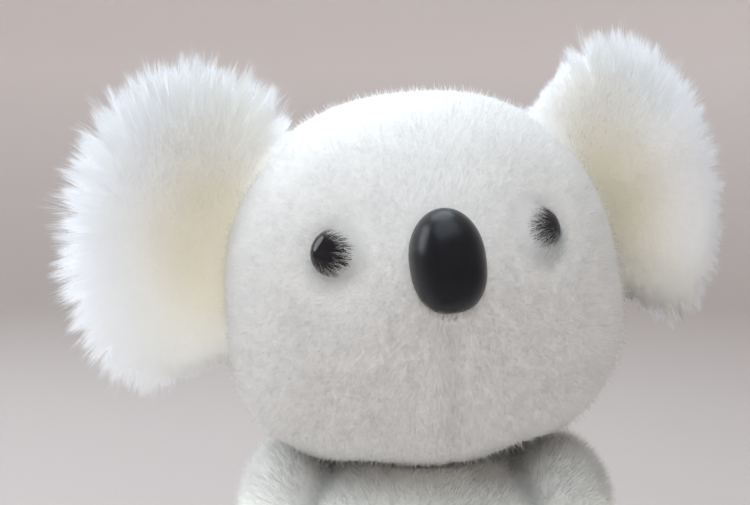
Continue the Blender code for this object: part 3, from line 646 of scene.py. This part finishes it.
def dome(name, outline, height, plump, matrix, material, tint_of, node):
    """A moulded dome seated in the cloth, finely drawn."""
    columns, rows = 96, 36
    angle = np.linspace(0, math.tau, columns, endpoint=False)
    rings, shares = [], []
    for wide, tall in [(0.985, -0.0022 / height), (1.0, -0.001 / height)] + [
            (math.cos(math.pi / 2 * i / rows) ** plump, math.sin(math.pi / 2 * i / rows))
            for i in range(rows)]:
        ring = outline(angle) * wide
        rings.append(np.c_[ring, np.full(columns, tall * height)])
        shares.append(np.full(columns, wide))
    points = np.concatenate(rings)
    share = np.concatenate(shares)
    faces = grid_faces(rows + 2, columns)
    top = len(points)
    points = np.vstack([points, [[0, 0, height]], [[0, 0, -0.0022]]])
    share = np.r_[share, 0.0, 1.0]
    last = (rows + 1) * columns
    caps = []
    for j in range(columns):
        k = (j + 1) % columns
        caps.append((last + j, last + k, top, top))
        caps.append((k, j, top + 1, top + 1))
    tris = np.concatenate([faces[:, [0, 1, 2]], faces[:, [0, 2, 3]], np.array(caps)[:, :3]])
    made = mesh_object(name, placed(points, matrix), tris, material, tint_of(share))
    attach(made, "head")
    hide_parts(node)
    return made


def eye_tint(share):
    black = np.array([0.003, 0.003, 0.006])
    brown = np.array([0.034, 0.016, 0.011])
    limb = np.array([0.008, 0.006, 0.006])
    to_iris = smooth_step(share, 0.66, 0.74)[:, None]
    to_limb = smooth_step(share, 0.90, 0.97)[:, None]
    return (black * (1 - to_iris) + brown * to_iris) * (1 - to_limb) + limb * to_limb


def make_face():
    def round_outline(angle):
        return EYE_RADIUS * np.c_[np.cos(angle), np.sin(angle)]

    def egg_outline(angle):
        rise = np.sin(angle)
        top = (1 - np.clip(rise, 0, 1) ** NOSE_TOP_POWER) ** NOSE_TOP_ROUND
        foot = (1 - np.clip(-rise, 0, 1) ** NOSE_FOOT_POWER) ** (1 / NOSE_FOOT_POWER)
        width = np.where(rise > 0, top, foot)
        return np.c_[np.sign(np.cos(angle)) * width * NOSE_HALF_WIDTH, rise * NOSE_HALF_HEIGHT]

    for name, way in zip(("left", "right"), eye_ways()):
        dome(f"{name}_eye_dome", round_outline, EYE_DOME, EYE_PLUMP,
             HEAD_MATRIX @ surface_frame(way), EYE, eye_tint, f"{name}_eye")
    dome("nose_shell", egg_outline, NOSE_DOME, NOSE_PLUMP,
         HEAD_MATRIX @ surface_frame(facing(0.0, NOSE_RISE)), NOSE_PLASTIC,
         lambda share: np.zeros((len(share), 3)), "nose")


# Ears, worked out as left ears in the head's frame and mirrored for the right side


def ear_frame(sweep):
    return (Matrix.Translation(EAR_HINGE) @ Matrix.Rotation(-EAR_LEAN, 4, "Y")
            @ Matrix.Rotation(sweep, 4, "Z"))


def ear_lens(make):
    """A puffy cushion with a thick round rim, and a soft hollow in front beside its root."""
    columns, rows = 140, 40
    angle = np.linspace(0, math.tau, columns, endpoint=False)
    c, s = np.cos(angle), np.sin(angle)
    power = EAR_SQUARENESS
    reach = (np.abs(c) ** power + np.abs(s) ** power) ** (-1 / power)
    lobe = 1 + (make["inner"] - 1) * smooth_step(-c, -0.2, 0.6) * smooth_step(s, -0.4, 0.5)
    points = []
    for front in (1, -1):
        shares = np.sin(np.linspace(0, math.pi / 2, rows)) ** 0.8
        for u in shares if front > 0 else shares[::-1][1:]:
            x = EAR_OUTWARD + u * reach * c * lobe * (EAR_HALF_WIDTH + make["grown"])
            z = EAR_UPWARD + u * reach * s * (EAR_HALF_HEIGHT + make["grown"])
            hollow = EAR_HOLLOW_DEPTH * bump(np.hypot((x - make["hollow"]) / 0.019,
                                                      (z - EAR_UPWARD + 0.002) / 0.029), 1.0)
            thick = EAR_PUFF - hollow if front > 0 else EAR_BACK_PUFF
            y = -EAR_CUP * u**2 - front * thick * max(0.0, 1 - u**3.6) ** 0.5
            points.append(np.stack([x, y + np.zeros(columns), z], 1))
    return np.concatenate(points), grid_faces(2 * rows - 1, columns)


def fused(groups, size):
    """One skin round several closed forms, as points and quads."""
    points = np.concatenate([p for p, _ in groups])
    starts = np.cumsum([0] + [len(p) for p, _ in groups])
    faces = np.concatenate([f + start for (_, f), start in zip(groups, starts)])
    scratch = mesh_object("scratch_form", points, faces, PALE)
    step = scratch.modifiers.new("fuse", "REMESH")
    step.mode, step.voxel_size = "VOXEL", size
    solved = scratch.evaluated_get(bpy.context.evaluated_depsgraph_get()).to_mesh()
    points = np.empty(len(solved.vertices) * 3, np.float32)
    solved.vertices.foreach_get("co", points)
    corners = np.empty(len(solved.loops), np.int32)
    solved.loops.foreach_get("vertex_index", corners)
    data = scratch.data
    bpy.data.objects.remove(scratch)
    bpy.data.meshes.remove(data)
    return points.reshape(-1, 3).astype(float), corners.reshape(-1, 4)


def relaxed(points, faces, weights, times):
    """The points drawn towards their neighbours, each as far as its weight says."""
    pairs = np.concatenate([faces[:, [i, (i + 1) % 4]] for i in range(4)])
    pairs = np.concatenate([pairs, pairs[:, ::-1]])
    share = np.zeros(len(points))
    np.add.at(share, pairs[:, 0], 1.0)
    for _ in range(times):
        total = np.zeros_like(points)
        for k in range(3):
            total[:, k] = np.bincount(pairs[:, 0], points[pairs[:, 1], k], len(points))
        points = points + weights[:, None] * (total / share[:, None] - points)
    return points


def head_gap(points):
    """How far each point is outside the head."""
    return np.linalg.norm(points, axis=1) - head_reach(unit(points))


def ear_skin(sweep, make):
    """The ear with its root spread softly over the head's side."""
    frame_in_head = ear_frame(sweep)
    lens, lens_faces = ear_lens(make)
    lens = placed(lens, frame_in_head)
    rows, columns = 90, 150
    t, a = np.meshgrid(np.linspace(0, math.pi, rows), np.linspace(0, math.tau, columns, endpoint=False),
                       indexing="ij")
    way = np.stack([np.sin(a) * np.sin(t), -np.cos(a) * np.sin(t), np.cos(t)], -1).reshape(-1, 3)
    ball = way * (head_reach(way) - HEAD_SKIN_DEPTH)[:, None]
    points, faces = fused([(lens, lens_faces), (ball, grid_faces(rows, columns))], 0.0016)
    tree = BVHTree.FromPolygons([Vector(p) for p in lens], lens_faces.tolist())
    ear_gap = np.array([tree.find_nearest(Vector(p))[3] for p in points])
    gap = head_gap(points)
    crease = np.exp(-(ear_gap**2 + gap**2) / (2 * 0.0055**2))
    points = relaxed(points, faces, 0.5 * np.clip(crease * 1.4 + 0.20, 0, 1), 45)
    sink = smooth_step(ear_gap, 0.0065, 0.0125)[:, None] * 0.0022
    points = points - unit(points) * sink
    near = (ear_gap < 0.0150) & (points[:, 0] > 0.012)
    faces = faces[near[faces].all(axis=1)]
    used = np.unique(faces)
    index = np.zeros(len(points), int)
    index[used] = np.arange(len(used))
    skin = Skin(points[used], index[faces])
    if (skin.normals * unit(skin.points - [0.06, 0.01, 0.03])).sum() < 0:
        skin = Skin(points[used], index[faces][:, ::-1])
    return skin, frame_in_head


# root and deep: strength and width of the painted shade on each ear's front, low beside the head.
EAR_MAKES = {
    "left": {"side": 1, "grown": -0.0052, "inner": 1.55, "length": 0.0138, "top": 115, "foot": -118,
             "hollow": -0.004, "low": 0.0, "root": 0.30, "deep": 0.014, "plain": 0.8, "trim": 0.42},
    "right": {"side": -1, "grown": -0.0018, "inner": 1.12, "length": 0.0152, "top": 150, "foot": -100,
              "hollow": -0.002, "low": 0.85, "root": 0.0, "deep": 0.011, "plain": 0.0, "trim": 0.0},
}


def make_ear(side_name):
    make = EAR_MAKES[side_name]
    side = make["side"]
    skin, frame_in_head = ear_skin(EAR_SWEEPS[side_name], make)
    flip = np.array([[side, 1.0, 1.0]])
    into_ear = frame_in_head.inverted()
    body = f"{side_name}_ear"

    def spot_of(points):
        """Share of the way to the rim, the angle round the ear and how far outward, on the ear."""
        local = placed(points, into_ear)
        c = (local[:, 0] - EAR_OUTWARD) / (EAR_HALF_WIDTH + make["grown"])
        s = (local[:, 2] - EAR_UPWARD) / (EAR_HALF_HEIGHT + make["grown"])
        power = EAR_SQUARENESS
        return (np.abs(c) ** power + np.abs(s) ** power) ** (1 / power), np.arctan2(s, c), local

    def tinted(points, normals):
        u, angle, local = spot_of(points)
        front = smooth_step(-turned(normals, into_ear)[:, 1], -0.1, 0.5)
        # Cream in the hollow by the root, on the front only: partly the lining's own colour, partly
        # painted shade of the hollow.
        share = 1.15 * front * bump(np.hypot((local[:, 0] - make["hollow"]) / 0.018,
                                             (local[:, 2] - EAR_UPWARD + 0.002) / 0.030), 1.0)
        share = np.clip(share, 0, 1)
        share, edge = share[:, None], smooth_step(u, 0.20, 0.60)[:, None]
        # Toward the rim the white goes brighter and bluer: painted light on the rims.
        white = np.array(WHITE) * (1 - edge) + np.array(RIM_WHITE_PAINTED_LIGHT) * edge
        # Painted shade: the front's tint darkened low beside the head, where the ear's root meets it.
        low_painted_shade = 1 - smooth_step(local[:, 2], 0.000, 0.048)
        root = 1 - make["root"] * (front * low_painted_shade * bump(head_gap(points), make["deep"]))[:, None]
        return (white * (1 - share) + np.array(CREAM) * share) * root

    def shading(points, normals):
        """Normals leaned to the front and up, as deep loose pile takes its light."""
        u, angle, local = spot_of(points)
        face_on = turned(np.tile([0.0, -1.0, 0.0], (len(points), 1)), frame_in_head)
        back_on = smooth_step(turned(normals, into_ear)[:, 1], 0.1, 0.6)[:, None]
        raised = make["low"] + (0.95 - make["low"]) * smooth_step(np.sin(angle), -0.5, 0.8)[:, None]
        lit = face_on * (1 - 2 * back_on) * 0.6 + np.array([[0, 0, 1.0]]) * raised
        share = 0.25 + 0.95 * smooth_step(u, 0.15, 0.75) + 0.40 * smooth_step(np.sin(angle), 0, 1)
        share = share * smooth_step(head_gap(points), -0.003, 0.001)
        share = share * (1 - make["plain"] * (1 - smooth_step(np.sin(angle), -0.1, 0.7)))
        return unit(normals + lit * share[:, None])

    faces = skin.faces if side > 0 else skin.faces[:, ::-1]
    cover = mesh_object(f"{side_name}_ear_skin", placed(skin.points * flip, HEAD_MATRIX), faces,
                        EAR_CLOTH, tinted(skin.points, skin.normals),
                        turned(shading(skin.points, skin.normals) * flip, HEAD_MATRIX))
    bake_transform(cover)
    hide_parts(f"{side_name}_ear_front", f"{side_name}_ear_back")

    def grow(name, per_cm2, weight, length_of, lift_of, width, segments, clump=None, spread=0.2,
             limit=0.0):
        spots, normals = skin.scatter(per_cm2, weight)
        keep = head_gap(spots) > limit
        spots, normals = spots[keep], normals[keep]
        count = len(spots)
        u, angle, local = spot_of(spots)
        radial = np.stack([local[:, 0] - EAR_OUTWARD, np.zeros(count), local[:, 2] - EAR_UPWARD], 1)
        radial = unit(turned(radial, frame_in_head))
        rim = smooth_step(u, 0.60, 1.0)[:, None]
        flow = tangent(radial + 0.15 * jitter(count, 1.0), normals)
        lengths = length_of(u, np.degrees(angle), local) * (1.10 - 0.50 * rng.random(count) ** 1.6)
        lift = lift_of(u)[:, None]
        ways = unit((flow * (1 - rim) + radial * rim) * (1 - lift) + normals * lift
                    + jitter(count, spread))
        bend = jitter(count, 1.0) * lengths[:, None] * 0.07
        tips = placed((spots + ways * lengths[:, None] + bend) * flip, HEAD_MATRIX)
        edge_x = abs(cad_box[0 if side < 0 else 1][0])
        over = np.maximum(0, np.abs(tips[:, 0]) - edge_x - FUR_ALLOWANCE)
        lengths = np.maximum(lengths - 1.2 * over, 0.003)
        gather = None
        if clump:
            tip = spots + ways * lengths[:, None] + bend
            chosen = rng.choice(count, clump, replace=False)
            tree = KDTree(clump)
            for i, k in enumerate(chosen):
                tree.insert(Vector(spots[k]), i)
            tree.balance()
            best = np.array([tree.find(Vector(p))[1] for p in spots])
            gather = (tip[chosen][best] - tip) * rng.uniform(0.35, 0.95, (count, 1)) * rim
            gather = turned(gather * flip, HEAD_MATRIX)
        base = tinted(spots, normals) * (1 + rng.normal(0, 0.010, (count, 1)))
        shade = shading(spots, normals)
        fur = strand_set(name, body, EAR_FUR, placed((spots - normals * 0.0004) * flip, HEAD_MATRIX),
                         turned(ways * flip, HEAD_MATRIX), lengths,
                         rng.uniform(0.8, 1.2, count) * width, turned(shade * flip, HEAD_MATRIX),
                         (base, base), bend=turned(bend * flip, HEAD_MATRIX), segments=segments,
                         gather=gather, tips=0.05, spin=0.6)
        airy(fur)
        for piece in fur:
            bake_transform(piece)

    def long_share(angle):
        top, foot = make["top"], make["foot"]
        return (1 - smooth_step(angle, top - 22, top + 8)) * smooth_step(angle, foot - 8, foot + 22)

    def rim_length(u, angle, local):
        full = 0.0040 + (make["length"] - 0.0040) * smooth_step(u, 0.45, 1.0)
        full = full * (1 - make["trim"] * bump(angle + 42, 26))
        return 0.0038 + (full - 0.0038) * long_share(angle)

    def pile_length(u, angle, local):
        return 0.0028 + 0.0016 * smooth_step(u, 0.3, 0.9)

    grow(f"{side_name}_ear_pile", EAR_PILE, None, pile_length,
         lambda u: 0.34 + 0 * u, 0.00014, 1, spread=0.12, limit=-0.0004)
    grow(f"{side_name}_ear_rim", EAR_RIM, lambda p: smooth_step(spot_of(p)[0], 0.40, 0.96), rim_length,
         lambda u: 0.30 - 0.16 * smooth_step(u, 0.85, 1.0), 0.00015, 2, clump=360, spread=0.13,
         limit=0.002)
    grow(f"{side_name}_ear_wisps", EAR_WISPS, lambda p: smooth_step(spot_of(p)[0], 0.72, 0.97),
         lambda u, a, p: 1.18 * rim_length(u, a, p), lambda u: 0.22 + 0 * u, 0.00013, 3, clump=200,
         spread=0.18, limit=0.004)


# Torso and limbs


def torso_skin(fuller):
    """The egg of the body, leaning to the neck, with a dish at its top for the head."""
    columns = 200
    angle = np.linspace(0, math.tau, columns, endpoint=False)
    rings = []
    lowest = -math.asin(BELLY_HEIGHT / TORSO_REACH_DOWN)
    for wide in (0.0, 0.4, 0.75):
        rings.append((wide, lowest))
    for value in np.linspace(lowest, TORSO_SHOULDER_ANGLE, 80):
        rings.append((1.0, value))
    points = []
    lean_to = np.array((HEAD_PLACE.x, HEAD_PLACE.y, 0.0))
    for wide, value in rings:
        up = value > 0
        reach = (TORSO_REACH_UP if up else TORSO_REACH_DOWN) + (2.6 * fuller if up else 0.0)
        power = TORSO_SQUARENESS if up else 2.0
        height = BELLY_HEIGHT + reach * math.sin(value)
        girth = max(0.0, 1 - abs((height - BELLY_HEIGHT) / reach) ** power) ** (1 / power)
        lean = float(smooth_step(height, BELLY_HEIGHT, BELLY_HEIGHT + TORSO_REACH_UP))
        x = wide * girth * (BELLY_HALF_WIDTH + fuller) * np.cos(angle)
        y = wide * girth * (BELLY_HALF_DEPTH + fuller) * np.sin(angle)
        ridge = bump(np.abs(x) - RIDGE_OUT, RIDGE_WIDTH) * smooth_step(height, *RIDGE_HEIGHTS)
        y = np.where(y < 0, y - RIDGE_RISE * ridge, y)
        ring = np.stack([x, y, np.full(columns, height)], 1) + lean * lean_to
        points.append(ring)
    rim = points[-1]
    reach = HEAD_CHIN + NECK_ROOM
    centre = np.array(HEAD_PLACE)
    edge = []
    for value in np.linspace(NECK_ANGLE, 0.0, 14):
        ring = np.stack([reach * math.sin(value) * np.cos(angle), reach * math.sin(value) * np.sin(angle),
                         np.full(columns, -reach * math.cos(value))], 1) + centre
        edge.append(ring)
    for share in np.linspace(0, 1, 12)[1:-1]:
        swell = math.sin(math.pi * share) * 0.0030
        points.append(rim * (1 - share) + edge[0] * share + np.array([[0, 0, swell]]))
    points += edge
    return Skin(np.concatenate(points), grid_faces(len(points), columns))


def limb_skin(size, fuller, rise):
    """A soft limb from its rounded root to its blunt paw, drawn for the left side."""
    rows, columns = 60, 90
    angle = np.linspace(0, math.tau, columns, endpoint=False)
    root = size["half_width"] + fuller
    length = size["length"] + fuller
    thickness = size["half_thickness"] + fuller
    points = []
    for value in np.linspace(0.0, math.pi, rows):
        along = -math.cos(value)
        if along < 0:
            run, wide = along * (root + rise), max(0.0, 1 - abs(along) ** 2.3) ** (1 / 2.3)
            outward = size["centre_out"]
        else:
            run = along * length
            end = max(0.0, 1 - along**LIMB_BLUNTNESS) ** (1 / LIMB_BLUNTNESS)
            wide = 1 - (1 - WRIST_WIDTH) * float(smooth_step(along, 0.0, WRIST_PLACE))
            wide += (PAW_WIDTH - WRIST_WIDTH) * float(smooth_step(along, WRIST_PLACE, PAW_PLACE))
            wide *= end
            outward = size["centre_out"] + size["drift"] * float(smooth_step(along, 0.0, DRIFT_END))
        points.append(np.stack([outward + wide * thickness * np.cos(angle),
                                wide * root * np.sin(angle), np.full(columns, run)], 1))
    return Skin(np.concatenate(points), grid_faces(rows, columns))


def body_fur(name, body, skin, matrix, flip, per_cm2, comb, floor, length=(0.0032, 0.0046),
             width=0.00016):
    """Pile over a skin of the body, combed one way, with a few longer hairs."""
    for suffix, density, lengths_of, wide, lift, segments in (
            ("pile", per_cm2, length, width, 0.85, 1),
            ("guard", per_cm2 * 0.10, (length[1] * 0.9, length[1] * 1.2), 0.00013, 0.9, 2)):
        spots, normals = skin.scatter(density)
        spots = placed(spots * flip, matrix)
        normals = turned(normals * flip, matrix)
        if floor is not None:
            keep = spots[:, 2] > floor + 0.0015
            spots, normals = spots[keep], normals[keep]
        count = len(spots)
        flow = tangent(np.tile(np.array(comb, float), (count, 1)) + jitter(count, 0.05), normals)
        ways = unit(flow * 0.8 + normals * lift + jitter(count, 0.20))
        lengths = rng.uniform(*lengths_of, count)
        near_neck = smooth_step(spots[:, 2], NECK_FUR_FROM, NECK_FUR_TO)
        lengths *= 1 + 0.40 * near_neck
        ways = unit(ways + np.array([[0, 0, 0.9]]) * near_neck[:, None])
        fold = (bump(np.abs(spots[:, 0]) - ARM_FOLD_OUT, 0.012)
                * smooth_step(spots[:, 2], *ARM_FOLD_HEIGHTS) * smooth_step(-spots[:, 1], -0.010, 0.010))
        lengths *= 1 + 0.5 * fold
        ways = unit(ways + np.array([[0, -0.7, 0.35]]) * fold[:, None])
        normals = unit(normals + np.array([[0, -1.6, 1.0]]) * fold[:, None])
        tints = (shade_of(BODY_WHITE, count), shade_of(BODY_WHITE, count))
        fur = strand_set(f"{name}_{suffix}", body, PALE_FUR, spots - normals * 0.0004, ways, lengths,
                         rng.uniform(0.8, 1.2, count) * wide, normals, tints, segments=segments,
                         bend=jitter(count, 0.0005), floor=floor, tips=0.05)
        airy(fur, see_through=False)
        dress(fur, body)


def make_body():
    skin = torso_skin(0.0015)
    cover = mesh_object("torso_skin", skin.points, skin.faces, PALE,
                        np.tile(np.array(BODY_WHITE), (len(skin.points), 1)))
    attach(cover, "torso")
    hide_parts("torso_cover", "torso_filling")
    one = np.ones((1, 3))
    body_fur("torso", "torso", skin, Matrix.Identity(4), one, BODY_PILE, (0, -0.2, -1.0), FLOOR_GAP)

    for side_name, side in (("left", 1), ("right", -1)):
        flip = np.array([[side, 1.0, 1.0]])
        for limb, body, size, fuller, rise, turn in (
                ("arm", f"{side_name}_arm", ARM, 0.0004, 0.0060, Matrix.Rotation(math.pi, 4, "X")),
                ("leg", f"{side_name}_leg", LEG, 0.0008, 0.0, Matrix.Rotation(math.pi / 2, 4, "X"))):
            joint = next(j for j in frame["joints"] if j["child"] == body)
            if limb == "arm":
                yaw = Matrix.Rotation(-side * ARM_YAW, 4, "Z")
                tilt = Matrix.Rotation(-side * ARM_SPREAD, 4, "Y")
                pose = yaw @ tilt @ Matrix.Rotation(-ARM_FORWARD, 4, "X")
            else:
                pose = Matrix.Rotation(-side * LEG_YAW, 4, "Z")
            world = Matrix.Translation(Vector(joint["pos_m"])) @ pose @ turn
            skin = limb_skin(size, fuller, rise)
            points = placed(skin.points * flip, world)
            floor = None
            if limb == "leg":
                floor = FLOOR_GAP
                points[:, 2] = np.maximum(points[:, 2], SKIN_FLOOR_GAP)
            faces = skin.faces if side > 0 else skin.faces[:, ::-1]
            cover = mesh_object(f"{body}_skin", points, faces, PALE,
                                np.tile(np.array(BODY_WHITE), (len(points), 1)))
            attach(cover, body)
            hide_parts(f"{body}_cover", f"{body}_filling")
            comb = np.array(world)[:3, 2]
            body_fur(body, body, skin, world, flip, BODY_PILE, comb, floor)


def finish_nodes():
    looks = {"left_eye_washer": WASHER_PLASTIC, "right_eye_washer": WASHER_PLASTIC,
             "nose_washer": WASHER_PLASTIC, "neck_filling": FIBRE, "pellet_bag": BAG_COTTON}
    for name, look in looks.items():
        node = frame["nodes"][name]
        node.data.materials.clear()
        node.data.materials.append(look)


# Studio

PAINT_LOW, PAINT_HIGH, PAINT_UNSEEN = (0.50, 0.46, 0.45), (0.76, 0.70, 0.70), (0.71, 0.66, 0.625)
CAMERA_PLACE, CAMERA_TURN, CAMERA_LENS = (-0.0203, -0.4287, 0.2726), math.radians(85), 51.0


def area_lamp(name, place, target, size, power, colour):
    lamp = bpy.data.lights.new(name, "AREA")
    lamp.shape = "ELLIPSE"
    lamp.size, lamp.size_y = size
    lamp.energy = power
    lamp.color = colour
    made = bpy.data.objects.new(name, lamp)
    made.location = place
    made.rotation_euler = (Vector(target) - Vector(place)).to_track_quat("-Z", "Y").to_euler()
    bpy.context.scene.collection.objects.link(made)


def studio_paint():
    """Plain paint, darker at the floor as the camera and the reflections see it."""
    paint, tree, shader = new_material("studio_paint")
    shader.inputs["Roughness"].default_value = 0.9
    shader.inputs["Specular IOR Level"].default_value = 0.1
    place = tree.nodes.new("ShaderNodeTexCoord")
    parts = tree.nodes.new("ShaderNodeSeparateXYZ")
    rise = tree.nodes.new("ShaderNodeMapRange")
    rise.inputs["From Max"].default_value = 0.5
    shade = tree.nodes.new("ShaderNodeMix")
    shade.data_type = "RGBA"
    shade.inputs["A"].default_value = (*PAINT_LOW, 1.0)
    shade.inputs["B"].default_value = (*PAINT_HIGH, 1.0)
    path = tree.nodes.new("ShaderNodeLightPath")
    seen = tree.nodes.new("ShaderNodeMath")
    seen.operation = "MAXIMUM"
    seen_through = tree.nodes.new("ShaderNodeMath")
    seen_through.operation = "MAXIMUM"
    given = tree.nodes.new("ShaderNodeMix")
    given.data_type = "RGBA"
    given.inputs["A"].default_value = (*PAINT_UNSEEN, 1.0)
    join(tree, [(place, "Object", parts, "Vector"), (parts, "Z", rise, "Value"),
                (rise, "Result", shade, "Factor"), (path, "Is Camera Ray", seen, 0),
                (path, "Is Glossy Ray", seen, 1), (seen, "Value", seen_through, 0),
                (path, "Is Transmission Ray", seen_through, 1), (seen_through, "Value", given, "Factor"),
                (shade, "Result", given, "B"), (given, "Result", shader, "Base Color")])
    return paint


def make_studio():
    columns = 96
    angle = np.linspace(0, math.tau, columns, endpoint=False)
    profile = [(0.001, 0.0), (0.5, 0.0), (1.2, 0.0)]
    for turn in np.linspace(0, math.pi / 2, 12):
        profile.append((1.6 + 0.8 * math.sin(turn), 0.8 - 0.8 * math.cos(turn)))
    profile.append((2.4, 2.6))
    points = np.concatenate([np.stack([r * np.cos(angle), r * np.sin(angle), np.full(columns, z)], 1)
                             for r, z in profile])
    paint = studio_paint()
    floor = mesh_object("studio_floor", points, grid_faces(len(profile), columns)[:, ::-1], paint)

    world = bpy.data.worlds.new("studio_world")
    bpy.context.scene.world = world
    world.use_nodes = True
    back = world.node_tree.nodes["Background"]
    back.inputs["Color"].default_value = (0.97, 0.965, 0.955, 1.0)
    back.inputs["Strength"].default_value = 0.76
    area_lamp("key", (-0.08, -0.52, 1.50), (0, 0, 0.22), (1.5, 1.5), 9.3, (0.84, 0.935, 1.0))
    area_lamp("top", (-0.15, 0.50, 1.40), (0, 0, 0.25), (1.1, 1.1), 8.0, (0.78, 0.90, 1.0))
    area_lamp("window", (-1.50, 0.30, 0.95), (0, 0, 0.25), (1.2, 1.2), 13.0, (0.88, 0.94, 1.0))

    camera = bpy.data.cameras.new("camera")
    camera.lens = CAMERA_LENS
    camera.sensor_width = 36.0
    camera.clip_start = 0.01
    made = bpy.data.objects.new("camera", camera)
    made.location = CAMERA_PLACE
    made.rotation_euler = (CAMERA_TURN, 0, 0)
    bpy.context.scene.collection.objects.link(made)
    bpy.context.scene.camera = made
    bpy.context.scene.view_settings.view_transform = "Standard"


make_head()
make_face()
for ear_name in EAR_MAKES:
    make_ear(ear_name)
make_body()
finish_nodes()
make_studio()
